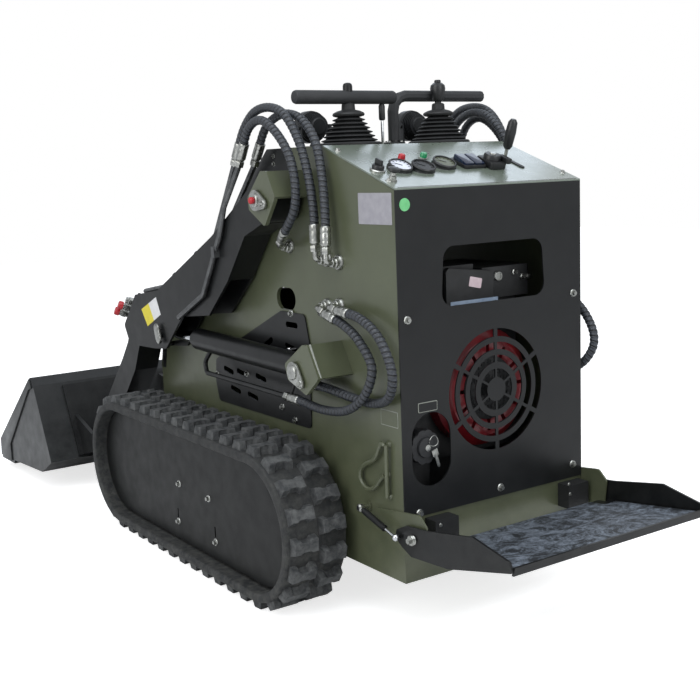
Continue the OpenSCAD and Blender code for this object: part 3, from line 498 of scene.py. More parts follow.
# tie-downs: an upright bar with an open rounded hook in front
tieDown = {"x": 306, "radius": 5.5, "bar": [(-52, 474), (-54, 343)],
    "hook": [(-60, 470), (-68, 476), (-80, 462), (-92, 441), (-112, 423), (-139, 410), (-160, 393),
    (-165, 373), (-153, 356), (-130, 349), (-107, 357), (-90, 372), (-74, 389), (-60, 398)]}


def makeTieDowns(setup):
    bm = bmesh.new()
    for sign in (1, -1):
        for points, step in ((setup["bar"], 20), (setup["hook"], 6)):
            addTube(bm, smoothRoute([at(sign * setup["x"], y, z) for y, z in points], step),
                setup["radius"] / 1000, 14)
        for y, z in (setup["bar"][0], setup["bar"][1], setup["hook"][-1]):
            addLathe(bm, [(0, 0), (8, 0), (7.5, 4), (5, 8), (0, 8)], at(sign * 294, y, z), (sign, 0, 0), 20)
    obj = build(bm, "tieDownHooks", "chassis", "oliveEnamel")
    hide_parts("tie_downs")


makeTieDowns(tieDown)

# rubber tracks: a smooth belt with two staggered rows of waisted lugs, set out by geometry nodes
track = {"base": 857, "rearWheel": (-414, 219), "beltRadius": 197, "beltThick": 25, "inner": 317,
    "width": 180, "rowGap": 12, "edge": 11, "lugCount": 40, "lugHeight": 22, "stepMm": 9}


def onTrack(setup, s):
    # place on the belt's outside and the outward angle, s mm along the loop
    base, radius = setup["base"], setup["beltRadius"]
    (y, z), arc = setup["rearWheel"], math.pi * setup["beltRadius"]
    if s < base:
        return y - s, z, 0.0
    if s < base + arc:
        return y - base, z, (s - base) / radius
    if s < 2 * base + arc:
        return y - base + (s - base - arc), z, math.pi
    return y, z, math.pi + (s - 2 * base - arc) / radius


def makeLug(setup):
    width = (setup["width"] - setup["rowGap"]) / 2 - setup["edge"]
    half = width / 2
    foot = [(-half, -23), (18 - half, -23), (26 - half, -15), (half - 26, -15), (half - 18, -23), (half, -23)]
    foot += [(x, -y) for x, y in reversed(foot)]
    bm = bmesh.new()
    low = [bm.verts.new((x / 1000, y / 1000, -0.004)) for x, y in foot]
    high = [bm.verts.new((x * 0.92 / 1000, y * 0.7 / 1000, setup["lugHeight"] / 1000)) for x, y in foot]
    for k in range(len(foot)):
        j = (k + 1) % len(foot)
        bm.faces.new((low[k], low[j], high[j], high[k]))
    bm.faces.new(low[::-1])
    top = bm.faces.new(high)
    bmesh.ops.bevel(bm, geom=list(top.edges), offset=0.0013, segments=2, affect="EDGES", profile=0.5)
    return objectFrom(bm, "lugPattern")


def makeLugTree():
    tree = bpy.data.node_groups.new("trackLugs", "GeometryNodeTree")
    for name, kind in (("Geometry", "Geometry"), ("lug", "Object"), ("finish", "Material")):
        tree.interface.new_socket(name, in_out="INPUT", socket_type="NodeSocket" + kind)
    tree.interface.new_socket("Geometry", in_out="OUTPUT", socket_type="NodeSocketGeometry")
    given = addNode(tree, "NodeGroupInput").outputs
    lug = addNode(tree, "GeometryNodeObjectInfo", links={"Object": given["lug"]})
    turn = addNode(tree, "GeometryNodeInputNamedAttribute", {"data_type": "FLOAT_VECTOR", "Name": "turn"})
    turned = addNode(tree, "FunctionNodeEulerToRotation", links={0: turn.outputs[0]})
    spread = addNode(tree, "GeometryNodeInstanceOnPoints",
        links={"Points": given["Geometry"], "Instance": lug.outputs["Geometry"],
        "Rotation": turned.outputs[0]})
    real = addNode(tree, "GeometryNodeRealizeInstances", links={0: spread.outputs[0]})
    done = addNode(tree, "GeometryNodeSetMaterial", links={"Geometry": real.outputs[0],
        "Material": given["finish"]})
    addNode(tree, "NodeGroupOutput", links={0: done.outputs[0]})
    return tree


def makeTracks(setup):
    loop = 2 * setup["base"] + 2 * math.pi * setup["beltRadius"]
    count = round(loop / setup["stepMm"])
    section = rounded(rectangle(setup["width"], setup["beltThick"]), 7, 3)
    tree, pattern = makeLugTree(), makeLug(setup)
    rowWidth = (setup["width"] - setup["rowGap"]) / 2
    for sign, sideName in ((1, "left"), (-1, "right")):
        bm, rings = bmesh.new(), []
        for k in range(count):
            y, z, turn = onTrack(setup, loop * k / count)
            ring = []
            for across, lift in section:
                r = setup["beltRadius"] - setup["beltThick"] / 2 + lift
                ring.append(bm.verts.new(at(sign * (setup["inner"] + setup["width"] / 2 + across),
                    y - r * math.sin(turn), z + r * math.cos(turn))))
            rings.append(ring)
        for k in range(count):
            low, high = rings[k], rings[(k + 1) % count]
            for j in range(len(section)):
                i = (j + 1) % len(section)
                bm.faces.new((low[j], low[i], high[i], high[j]))
        belt = build(bm, "trackBelt" + sideName.title(), "chassis", "trackRubber")
        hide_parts("track_" + sideName)
        places, turns = [], []
        inset = setup["edge"] + (rowWidth - setup["edge"]) / 2
        for row, x in enumerate((setup["inner"] + inset, setup["inner"] + setup["width"] - inset)):
            for k in range(setup["lugCount"]):
                y, z, turn = onTrack(setup, (k + 0.25 + row / 2) * loop / setup["lugCount"])
                r = setup["beltRadius"]
                places.append(at(sign * x, y - r * math.sin(turn), z + r * math.cos(turn)))
                turns.append((turn, 0, 0))
        mesh = bpy.data.meshes.new("lugPlaces")
        mesh.from_pydata(places, [], [])
        attribute = mesh.attributes.new("turn", "FLOAT_VECTOR", "POINT")
        for k, value in enumerate(turns):
            attribute.data[k].vector = value
        points = bpy.data.objects.new("trackLugs" + sideName.title(), mesh)
        bpy.context.scene.collection.objects.link(points)
        lugs = realised(points, tree, {"lug": pattern, "finish": materials["lugRubber"]})
        lugs.data.materials.clear()
        lugs.data.materials.append(materials["lugRubber"])
        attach(lugs, "chassis")
        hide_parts("track_" + sideName)
    bpy.data.objects.remove(pattern)


# screws: one tree of geometry nodes sets a flanged hexagon screw on each point
screwSizes = {"headWidth": 13.0, "headHeight": 6.0, "flangeWidth": 21.0, "flangeHeight": 2.2}


def makeScrewTree(sizes):
    tree = bpy.data.node_groups.new("flangedScrews", "GeometryNodeTree")
    tree.interface.new_socket("Geometry", in_out="INPUT", socket_type="NodeSocketGeometry")
    for name in sizes:
        tree.interface.new_socket(name, in_out="INPUT", socket_type="NodeSocketFloat")
    tree.interface.new_socket("finish", in_out="INPUT", socket_type="NodeSocketMaterial")
    tree.interface.new_socket("Geometry", in_out="OUTPUT", socket_type="NodeSocketGeometry")
    given = addNode(tree, "NodeGroupInput").outputs
    parts = []
    for sides, width, height, lift in ((6, "headWidth", "headHeight", "flangeHeight"),
            (20, "flangeWidth", "flangeHeight", None)):
        radius = addNode(tree, "ShaderNodeMath", {"operation": "MULTIPLY", 1: 0.5},
            {0: given[width]}).outputs[0]
        rim = addNode(tree, "ShaderNodeMath", {"operation": "MULTIPLY", 1: 0.86}, {0: radius}).outputs[0]
        solid = addNode(tree, "GeometryNodeMeshCone", {"Vertices": sides},
            {"Radius Top": rim, "Radius Bottom": radius, "Depth": given[height]})
        if lift:
            shift = addNode(tree, "ShaderNodeCombineXYZ", links={"Z": given[lift]}).outputs[0]
            solid = addNode(tree, "GeometryNodeTransform",
                links={"Geometry": solid.outputs[0], "Translation": shift})
        parts.append(solid.outputs[0])
    screw = addNode(tree, "GeometryNodeJoinGeometry")
    for part in parts:
        tree.links.new(part, screw.inputs[0])
    facing = addNode(tree, "GeometryNodeInputNamedAttribute",
        {"data_type": "FLOAT_VECTOR", "Name": "facing"}).outputs[0]
    size = addNode(tree, "GeometryNodeInputNamedAttribute", {"data_type": "FLOAT", "Name": "size"})
    turned = addNode(tree, "FunctionNodeAlignRotationToVector", {"axis": "Z"}, {"Vector": facing})
    spread = addNode(tree, "GeometryNodeInstanceOnPoints",
        links={"Points": given["Geometry"], "Instance": screw.outputs[0], "Rotation": turned.outputs[0],
        "Scale": size.outputs[0]})
    real = addNode(tree, "GeometryNodeRealizeInstances", links={0: spread.outputs[0]})
    done = addNode(tree, "GeometryNodeSetMaterial", links={"Geometry": real.outputs[0],
        "Material": given["finish"]})
    addNode(tree, "NodeGroupOutput", links={0: done.outputs[0]})
    return tree


screwTree = makeScrewTree(screwSizes)


def realised(obj, tree, inputs):
    modifier = obj.modifiers.new("nodes", "NODES")
    modifier.node_group = tree
    for item in tree.interface.items_tree:
        if item.in_out == "INPUT" and item.name in inputs:
            modifier[item.identifier] = inputs[item.name]
    bpy.context.view_layer.update()
    graph = bpy.context.evaluated_depsgraph_get()
    mesh = bpy.data.meshes.new_from_object(obj.evaluated_get(graph), depsgraph=graph)
    obj.modifiers.clear()
    result = bpy.data.objects.new(obj.name + "Set", mesh)
    bpy.context.scene.collection.objects.link(result)
    bpy.data.objects.remove(obj)
    return result


makeTracks(track)
print("tracks made")


def screwField(name, body, places, finish="brightZinc"):
    # places: (x, y, z), (direction), size as a share of the usual screw
    mesh = bpy.data.meshes.new(name)
    mesh.from_pydata([at(*p) for p, d, s in places], [], [])
    mesh.attributes.new("facing", "FLOAT_VECTOR", "POINT")
    mesh.attributes.new("size", "FLOAT", "POINT")
    facing, size = mesh.attributes["facing"], mesh.attributes["size"]
    for k, (p, d, s) in enumerate(places):
        facing.data[k].vector = Vector(d).normalized()
        size.data[k].value = s
    obj = bpy.data.objects.new(name, mesh)
    bpy.context.scene.collection.objects.link(obj)
    inputs = {key: value / 1000 for key, value in screwSizes.items()}
    inputs["finish"] = materials[finish]
    result = realised(obj, screwTree, inputs)
    result.data.materials.clear()
    result.data.materials.append(materials[finish])
    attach(result, body)
    return result


up, rear = (0, 0, 1), (0, 1, 0)
dashUp = (0, math.sin(dashSlope), math.cos(dashSlope))
# rear covers, then both sides: side plates, hood flange, track covers, panel, step hinges
chassisScrews = [((250, 0, 306), rear, 1.0), ((-9, 0, 319), rear, 1.0), ((-263, 0, 333), rear, 1.0),
    ((270, 0, 774), rear, 1.0), ((-269, 0, 787), rear, 1.0)]
for sign in (1, -1):
    outward = (sign, 0, 0)
    for y, z in ((-470, 753), (-910, 533), (-727, 557), (-473, 463), (-538, 490)):
        chassisScrews.append(((sign * 299, y, z), outward, 0.95))
    for y, z in ((-525, 1165), (-525, 1145)):
        chassisScrews.append(((sign * 296, y, z), outward, 0.75))
    for y, z in ((-907, 108), (-672, 104), (-889, 227), (-702, 224)):
        chassisScrews.append(((sign * 458, y, z), outward, 1.05))
    chassisScrews.append(((sign * 278, -45, dashZ(-45)), dashUp, 0.8))
    chassisScrews.append(((sign * 278, -250, dashZ(-250)), dashUp, 0.8))
    chassisScrews.append(((sign * 316, 48, 265), outward, 1.25))
screwField("coverScrews", "chassis", chassisScrews)
print("screws set:", len(chassisScrews))

# silver lock plates that hold the pins, with a screw and some with a red grease cap
lockPlate = {"pinRadius": 27, "tailRadius": 13, "tailLength": 40, "thick": 6}


def lockOutline(setup):
    side = math.acos((setup["pinRadius"] - setup["tailRadius"]) / setup["tailLength"])
    points = []
    for k in range(9):
        a = -side + 2 * side * k / 8
        points.append((setup["tailLength"] + setup["tailRadius"] * math.cos(a),
            setup["tailRadius"] * math.sin(a)))
    for k in range(17):
        a = side + (2 * math.pi - 2 * side) * k / 16
        points.append((setup["pinRadius"] * math.cos(a), setup["pinRadius"] * math.sin(a)))
    return points


def makeLockPlates(name, body, places):
    # places: (x, y, z, side, turn in degrees, cap)
    metal, caps, screws = bmesh.new(), bmesh.new(), []
    for x, y, z, sign, turn, cap in places:
        matrix = sideMatrix(x, y, z, sign, math.radians(turn))
        addSlab(metal, lockOutline(lockPlate), matrix, lockPlate["thick"], 1.2)
        addLathe(metal, [(0, 0), (19, 0), (19, 3), (17, 5), (0, 5)],
            matrix @ Vector((0, 0, lockPlate["thick"] / 1000)), (sign, 0, 0), 32)
        tail = matrix @ Vector((lockPlate["tailLength"] / 1000, 0, lockPlate["thick"] / 1000))
        screws.append(((tail.x * 1000, tail.y * 1000 - shiftY, tail.z * 1000), (sign, 0, 0), 0.95))
        if cap:
            addLathe(caps, [(0, 0), (9, 0), (9, 6), (6, 9), (0, 9.5)],
                matrix @ Vector((0, 0, (lockPlate["thick"] + 5) / 1000)), (sign, 0, 0), 24)
    build(metal, name, body, "brightZinc")
    if len(caps.verts):
        build(caps, name + "Caps", body, "redPlastic")
    screwField(name + "Screws", body, screws)


pivotLocks = [(402, -445, 1055, s, -12, True) for s in (1, -1)]
ramLocks = [(402, -298, 631, s, -38, False) for s in (1, -1)]
makeLockPlates("bodyLocks", "chassis", pivotLocks + ramLocks)

# long smooth caps over the rods' front pins, and a scuffed weld along each ram bracket's rear edge
pinCap = {"place": (389, -1109, 645), "width": 32, "length": 64, "turn": 18, "thick": 10, "bevel": 4.5}
weld = {"route": [(389, -240, 705), (389.5, -217, 664), (389, -196, 627)], "radius": 3, "stepMm": 8}
ovals, welds = bmesh.new(), bmesh.new()
for sign in (1, -1):
    addSlab(ovals, rounded(rectangle(pinCap["width"], pinCap["length"]), 15.5, 8),
        sideMatrix(*pinCap["place"], sign, math.radians(pinCap["turn"])), pinCap["thick"], pinCap["bevel"])
    addTube(welds, smoothRoute([at(sign * x, y, z) for x, y, z in weld["route"]], weld["stepMm"]),
        weld["radius"] / 1000, 10)
build(ovals, "armPinCaps", "lift_arm", "brightZinc")
build(welds, "bracketWelds", "chassis", "rimFilm")
print("lock plates made")

# hoses: the routes repeat the construction drawing's
hoseSetup = {"radius": 11.5, "sides": 16, "stepMm": 2.25, "guardPitch": guardPitch, "guardDepth": 1.8}
upperRoutes = [
    [(330, -289, 960), (330, -290, 1030), (334, -300, 1110), (338, -330, 1195), (341, -385, 1262),
     (344, -453, 1286), (346, -530, 1278), (347, -590, 1235), (347, -630, 1175)],
    [(345, -418, 958), (354, -390, 975), (356, -338, 1030), (358, -325, 1095), (360, -345, 1165),
     (364, -400, 1225), (367, -465, 1255), (369, -525, 1235), (370, -565, 1172)],
    [(330, -241, 955), (325, -246, 1020), (318, -262, 1100), (312, -290, 1180), (310, -330, 1230),
     (312, -385, 1262), (317, -455, 1266), (321, -520, 1235), (322, -565, 1172)],
]
lowerRoutes = [
    [(332, -240, 772), (332, -170, 752), (332, -110, 720), (330, -65, 660), (334, -95, 590),
     (340, -165, 545), (345, -260, 533), (350, -350, 541), (350, -396, 542)],
    [(332, -185, 786), (332, -110, 777), (332, -40, 745), (332, 5, 690), (328, 12, 640),
     (318, -22, 592), (312, -90, 570), (316, -180, 573), (327, -240, 583), (335, -285, 588),
     (335, -326, 588)],
]


def makeHose(name, route, setup):
    points = smoothRoute([at(*p) for p in route], setup["stepMm"])
    length = sum((b - a).length for a, b in zip(points, points[1:]))
    last = len(points) - 1
    bm = bmesh.new()
    layer = bm.loops.layers.uv.new("along")
    tangents = [(points[min(i + 1, last)] - points[max(i - 1, 0)]).normalized() for i in range(last + 1)]
    side = tangents[0].orthogonal().normalized()
    sides = setup["sides"]
    rings, travelled = [], []
    run = 0.0
    for i, (point, tangent) in enumerate(zip(points, tangents)):
        if i:
            run += (point - points[i - 1]).length
        travelled.append(run)
        side = (side - side.dot(tangent) * tangent).normalized()
        other = tangent.cross(side)
        ring = []
        for k in range(sides):
            phase = (run * 1000 / setup["guardPitch"] + k / sides) % 1.0
            dip = setup["guardDepth"] * max(0.0, 1 - abs(phase - 0.5) / 0.24)
            radius = (setup["radius"] - dip) / 1000
            t = 2 * math.pi * k / sides
            ring.append(bm.verts.new(point + radius * (side * math.cos(t) + other * math.sin(t))))
        rings.append(ring)
    for i in range(last):
        for k in range(sides):
            face = bm.faces.new((rings[i][k], rings[i][(k + 1) % sides], rings[i + 1][(k + 1) % sides],
                rings[i + 1][k]))
            for loop, (u, v) in zip(face.loops, ((k / sides, i), ((k + 1) / sides, i),
                    ((k + 1) / sides, i + 1), (k / sides, i + 1))):
                loop[layer].uv = (u, travelled[v])
    bm.faces.new(rings[0][::-1])
    bm.faces.new(rings[-1])
    mesh = bpy.data.meshes.new(name)
    bm.to_mesh(mesh)
    bm.free()
    obj = bpy.data.objects.new(name, mesh)
    bpy.context.scene.collection.objects.link(obj)
    return obj, points, length


ferruleProfile = [(0, -8), (12.2, -8), (13.6, -6), (13.6, 6), (12.9, 8), (13.6, 10), (13.6, 26), (13.0, 28),
    (13.6, 30), (13.6, 36), (11, 40), (9, 42), (9, 46), (0, 46)]


def fitEnd(bm, point, away):
    # a crimped ferrule that starts 26 mm up the hose, then a hexagon nut
    start = point - away * 0.026
    addLathe(bm, ferruleProfile, start, away, 28)
    addLathe(bm, [(0, 44), (12.5, 44), (13.6, 46), (13.6, 58), (12.5, 60), (0, 60)], start, away, 6)


for sign, sideName in ((1, "Left"), (-1, "Right")):
    nodeSide = sideName.lower()
    chassisMetal, armMetal, barrelMetal = bmesh.new(), bmesh.new(), bmesh.new()
    # name, routes, moving body, where the bend starts and ends, and the mesh its far fittings go into
    groups = (
        ("upperHose", upperRoutes, "lift_arm", (0, -300, 1000), (0, -615, 1190), armMetal),
        ("lowerHose", lowerRoutes, f"lift_barrel_{nodeSide}", (0, -120, 680), (0, -330, 560), barrelMetal),
    )
    for group, routes, body, start, end, metal in groups:
        for number, route in enumerate(routes, 1):
            mirroredRoute = [(sign * x, y, z) for x, y, z in route]
            hose, points, length = makeHose(f"{group}{sideName}{number}", mirroredRoute, hoseSetup)
            keep(hose, None, "spiralGuard")
            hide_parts(f"{'upper' if group == 'upperHose' else 'lower'}_hoses_{nodeSide}")
            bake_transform(hose)
            fitEnd(chassisMetal, points[0], (points[0] - points[1]).normalized())
            fitEnd(metal, points[-1], (points[-1] - points[-2]).normalized())
            # bent tube and round boss from the hose's first end to the body
            away = (points[0] - points[1]).normalized()
            knee = points[0] + away * 0.044
            foot = Vector((sign * 0.297, knee.y + away.y * 0.012, knee.z + away.z * 0.012))
            bend = [points[0] + away * 0.03]
            middle, inner = knee + away * 0.012, Vector((knee.x - sign * 0.02, foot.y, foot.z))
            for k in range(9):
                t = k / 8
                bend.append(knee.lerp(middle, t).lerp(middle.lerp(inner, t), t))
            bend.append(foot)
            addTube(chassisMetal, bend, 0.0075, 16)
            addLathe(chassisMetal, [(0, 0), (19, 0), (19, 5), (17, 8), (14, 8), (14, 15), (12, 17), (0, 17)],
                foot - Vector((sign * 0.002, 0, 0)), (sign, 0, 0), 28)
            addLathe(chassisMetal, [(0, 16), (12, 16), (12, 24), (11, 25), (0, 25)],
                foot - Vector((sign * 0.002, 0, 0)), (sign, 0, 0), 6)
    fittings = build(chassisMetal, f"hoseFittings{sideName}", "chassis", "brightZinc")
    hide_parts(f"hose_ports_{nodeSide}")
    build(armMetal, f"armFittings{sideName}", "lift_arm", "brightZinc")
    build(barrelMetal, f"barrelFittings{sideName}", f"lift_barrel_{nodeSide}", "brightZinc")
print("hoses and fittings made")

# rubber boots, levers and grips on the deck
leverY = -385
boot = {"x": (149, -149), "baseRadius": 84, "pleats": 6, "pleatHeight": 10.5, "pleatRadius": 74,
    "pleatTaper": 6.2}


def makeBoots(setup):
    bm = bmesh.new()
    for x in setup["x"]:
        profile = [(0, 0), (setup["baseRadius"], 0), (setup["baseRadius"], 5), (setup["baseRadius"] - 4, 8)]
        for k in range(setup["pleats"]):
            outer = setup["pleatRadius"] - setup["pleatTaper"] * k
            z = 8 + setup["pleatHeight"] * k
            profile += [(outer - 9, z + 1), (outer - 1.5, z + 3.2), (outer, z + 4.8), (outer - 1.5, z + 6.2),
                (outer - 10, z + 9)]
        z = 8 + setup["pleatHeight"] * setup["pleats"]
        profile += [(28, z + 1), (40, z + 4), (42, z + 8), (40, z + 12), (30, z + 17), (18, z + 20),
            (17, z + 34), (13, z + 37), (0, z + 37)]
        addLathe(bm, profile, at(x, leverY, deckZ), up, 64)
    obj = build(bm, "pleatedBoots", "chassis", "mouldedRubber")
    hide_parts("lever_boots")


makeBoots(boot)
grip = {"radius": 17.5, "barLeft": 314, "barRight": 0, "barZ": deckZ + 123, "knobZ": 1347}


def roundBar(bm, a, b, radius, rim=4.0, sides=32):
    # a bar with rounded ends from a to b
    length = (b - a).length * 1000
    addLathe(bm, [(0, 0), (radius - rim, 0), (radius - rim * 0.3, rim * 0.3), (radius, rim),
        (radius, length - rim), (radius - rim * 0.3, length - rim * 0.3), (radius - rim, length),
        (0, length)], a, b - a, sides)


def makeLevers(setup):
    rubber, metal, plastic = bmesh.new(), bmesh.new(), bmesh.new()
    roundBar(rubber, at(setup["barRight"], leverY, setup["barZ"]),
        at(setup["barLeft"], leverY, setup["barZ"]), setup["radius"], 7)
    roundBar(metal, at(149, leverY, deckZ + 60), at(149, leverY, setup["barZ"] - 6), 11, 2)
    addLathe(metal, [(0, 0), (12.5, 0), (12.5, 20), (11, 25), (7, 28), (0, 29)],
        at(149, leverY, setup["barZ"] + 8), up, 32)
    roundBar(metal, at(-149, leverY, deckZ + 60), at(-149, leverY, setup["knobZ"] - 45), 9, 2)
    addLathe(plastic, [(0, 0), (12, 0), (17, 6), (19, 22), (21, 34), (19, 43), (12, 49), (0, 51)],
        at(-149, leverY, setup["knobZ"] - 50), up, 40)
    addLathe(plastic, [(0, 50), (9, 50), (9, 55), (7, 57), (0, 57)],
        at(-149, leverY, setup["knobZ"] - 50), up, 24)
    chrome = bmesh.new()
    roundBar(chrome, at(42, leverY, deckZ), at(42, leverY, deckZ + 72), 4, 1, 16)
    addLathe(plastic, [(0, 0), (7, 0), (8.5, 4), (8.5, 36), (7, 41), (0, 43)],
        at(42, leverY, deckZ + 64), up, 24)
    bar = build(rubber, "crossGrip", "chassis", "gripRubber")
    stems = build(metal, "leverStems", "chassis", "blackEnamel")
    knobs = build(plastic, "leverKnobs", "chassis", "absPlastic")
    rod = build(chrome, "thinRod", "chassis", "hardChrome")
    for obj in (bar, stems, knobs, rod):
        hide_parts("control_levers")


makeLevers(grip)

# round foot of the grab bar with its four screws
grabFoot = bmesh.new()
addLathe(grabFoot, [(0, 0), (31, 0), (31, 5), (29, 7), (17, 7), (16, 12), (0, 12)],
    at(-18, leverY - 31, deckZ), up, 40)
build(grabFoot, "grabBarFoot", "chassis", "blackEnamel")
footScrews = [(-18 + 24 * math.cos(t), leverY - 31 + 24 * math.sin(t), deckZ + 7)
    for t in (0.4, 1.97, 3.54, 5.11)]
screwField("grabBarScrews", "chassis", [(place, up, 0.5) for place in footScrews])
print("levers made")

# work lamps: finned housing with a lens at the front
lamp = {"x": (169, -169), "y": -520, "z": 1239, "fins": 6}


def makeLamps(setup):
    housing, lens = bmesh.new(), bmesh.new()
    for x in setup["x"]:
        centre = at(x, setup["y"], setup["z"])
        front = (0, -1, 0)
        back = centre + Vector((0, 0.026, 0))
        profile = [(0, 0), (20, 0), (22, 2)]
        for k in range(setup["fins"]):
            d = 3 + 5 * k
            profile += [(25, d), (30 + 2.2 * k, d), (30 + 2.2 * k, d + 2.2), (25, d + 2.2)]
        profile += [(36, 34), (43, 38), (43, 62), (41, 64), (38, 64), (38, 61), (0, 61)]
        addLathe(housing, profile, back, front, 48)
        addLathe(lens, [(0, 0), (37.5, 0), (37.5, 1.5), (30, 3), (0, 4)], back + Vector((0, -0.0605, 0)),
            front, 40)
        for s in (-1, 1):
            addSlab(housing, [(-12, 0), (12, 0), (9, 60), (-9, 60)],
                sideMatrix(x + s * 45 - 2, setup["y"], deckZ), 4, 0.8)
            addLathe(housing, [(0, 0), (8, 0), (8, 6), (0, 7)], at(x + s * 46, setup["y"], setup["z"]),
                (s, 0, 0), 6)
        addSlab(housing, rounded(rectangle(96, 30), 4), Matrix.Translation(at(x, setup["y"], deckZ)), 4, 0.8)
        addLathe(housing, [(0, 0), (14, 0), (14, 8), (8, 14), (0, 14)], at(x, setup["y"], deckZ), up, 24)
    obj = build(housing, "lampHousings", "chassis", "alloyFins")
    glass = build(lens, "lampLenses", "chassis", "lampLens")
    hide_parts("work_lamps")
    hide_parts("work_lamps")


makeLamps(lamp)

# sloping panel: gauges, switches and lamps
panel = {
    "leanDegrees": 9,
    "gauges": ((195, -113, "dialFace"), (132, -105, "absPlastic"), (52, -123, "oliveEnamel")),
    "lamps": ((143, -174), (69, -181)),
    "rockers": (-31, -128),
    "dial": (-93, -113),
    "throttle": (-184, -132),
    "keySwitch": (262, -110),
    "choke": (268, -46),
}


def makePanel(setup):
    black, metal, red, green, blue, steel = (bmesh.new() for k in range(6))
    faces = {}
    lean = Matrix.Rotation(math.radians(setup["leanDegrees"]), 4, "X")
    for x, y, finish in setup["gauges"]:
        m = dashMatrix(x, y) @ lean
        base, out = m.translation, m.to_3x3() @ Vector((0, 0, 1))
        addLathe(black, [(0, -6), (32, -6), (32, 3), (30.5, 5), (30, 10), (31, 12), (29, 14.5), (26.5, 14.5),
            (25.5, 10), (0, 10)], base, out, 48)
        face = faces[finish] = bmesh.new()
        addLathe(face, [(0, 9.5), (25.7, 9.5), (25.7, 11.5), (0, 12)], base, out, 40)
        for k in range(9):  # ticks round the dial
            a = math.radians(-120 + 30 * k)
            addSlab(black, [(-0.8, 18), (0.8, 18), (0.8, 23), (-0.8, 23)],
                m @ Matrix.Translation((0, 0, 0.0115)) @ Matrix.Rotation(-a, 4, "Z"), 0.8)
        addSlab(black, [(-1.2, -4), (1.2, -4), (0.5, 17), (-0.5, 17)],
            m @ Matrix.Translation((0, 0, 0.0118)) @ Matrix.Rotation(0.9, 4, "Z"), 1.0)
    m, base, out = dashPlace(*setup["keySwitch"])
    addLathe(metal, [(0, 0), (19, 0), (19, 3), (17, 5), (0, 5)], base, out, 36)
    addLathe(black, [(0, 4), (15, 4), (15, 12), (13, 15), (0, 15)], base, out, 36)
    addSlab(black, rounded(rectangle(8, 26), 3), m @ Matrix.Translation((0, 0, 0.014)), 14, 1.5)
    m, base, out = dashPlace(*setup["choke"])
    addLathe(metal, [(0, 0), (12, 0), (12, 4), (9, 5), (9, 12), (7, 13), (7, 20), (0, 20)], base, out, 24)
    addLathe(black, [(0, 18), (5, 18), (5, 21), (13, 23), (15, 26), (14, 30), (8, 32), (0, 32)],
        base, out, 32)
    for (x, y), part in zip(setup["lamps"], (red, green)):
        m, base, out = dashPlace(x, y)
        addLathe(metal, [(0, 0), (12, 0), (12, 2), (10, 3), (0, 3)], base, out, 28)
        addLathe(part, [(0, 2), (9, 2), (9, 12), (7, 15), (0, 16)], base, out, 28)
    m = dashMatrix(*setup["rockers"])
    addSlab(black, rounded(rectangle(72, 66), 5), m, 8, 1.5)
    for k in (-1, 1):
        addSlab(blue, rounded(rectangle(29, 52), 3), m @ Matrix.Translation((0.0165 * k, 0, 0.005)) @ lean,
            12, 1.5)
    m, base, out = dashPlace(*setup["dial"])
    addSlab(black, rounded(rectangle(50, 66), 8), m, 18, 3)
    addLathe(black, [(0, 16), (23, 16), (23, 26), (20, 31), (0, 32)], base, out, 12)
    addLathe(metal, [(0, 31), (9, 31), (8, 34), (0, 34)], base, out, 20)
    addSlab(black, rounded(rectangle(16, 40), 4), m @ Matrix.Translation((0.024, -0.02, 0.016)), 14, 2)
    m, base, out = dashPlace(*setup["throttle"], -0.04)
    addSlab(black, rounded(rectangle(13, 96), 6), m, 3, 0.6)
    base = m @ Vector((0, 0.03, 0))
    addLathe(metal, [(0, 0), (4.5, 0), (4.5, 40), (0, 40)], base, out, 16)
    addLathe(black, [(0, 26), (8, 26), (12, 34), (14, 70), (12, 96), (7, 104), (0, 105)], base, out, 32)
    # a pale steel strip along the panel's rear edge: a painted highlight
    addSlab(steel, [(-284, 0), (284, 0), (284, 2.2), (-284, 2.2)], dashMatrix(0, -2.6), 0.5)
    pieces = [build(black, "panelBlack", "chassis", "absPlastic"),
        build(metal, "panelMetal", "chassis", "brightZinc"),
        build(red, "redLamp", "chassis", "redPlastic"),
        build(green, "greenLamp", "chassis", "greenPlastic"),
        build(blue, "rockers", "chassis", "bluePlastic")]
    for number, (finish, face) in enumerate(faces.items(), 1):
        pieces.append(build(face, f"gaugeFace{number}", "chassis", finish))
    for obj in pieces:
        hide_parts("dash_controls")
    build(steel, "panelEdge", "chassis", "wornSteel")


makePanel(panel)
print("panel made")

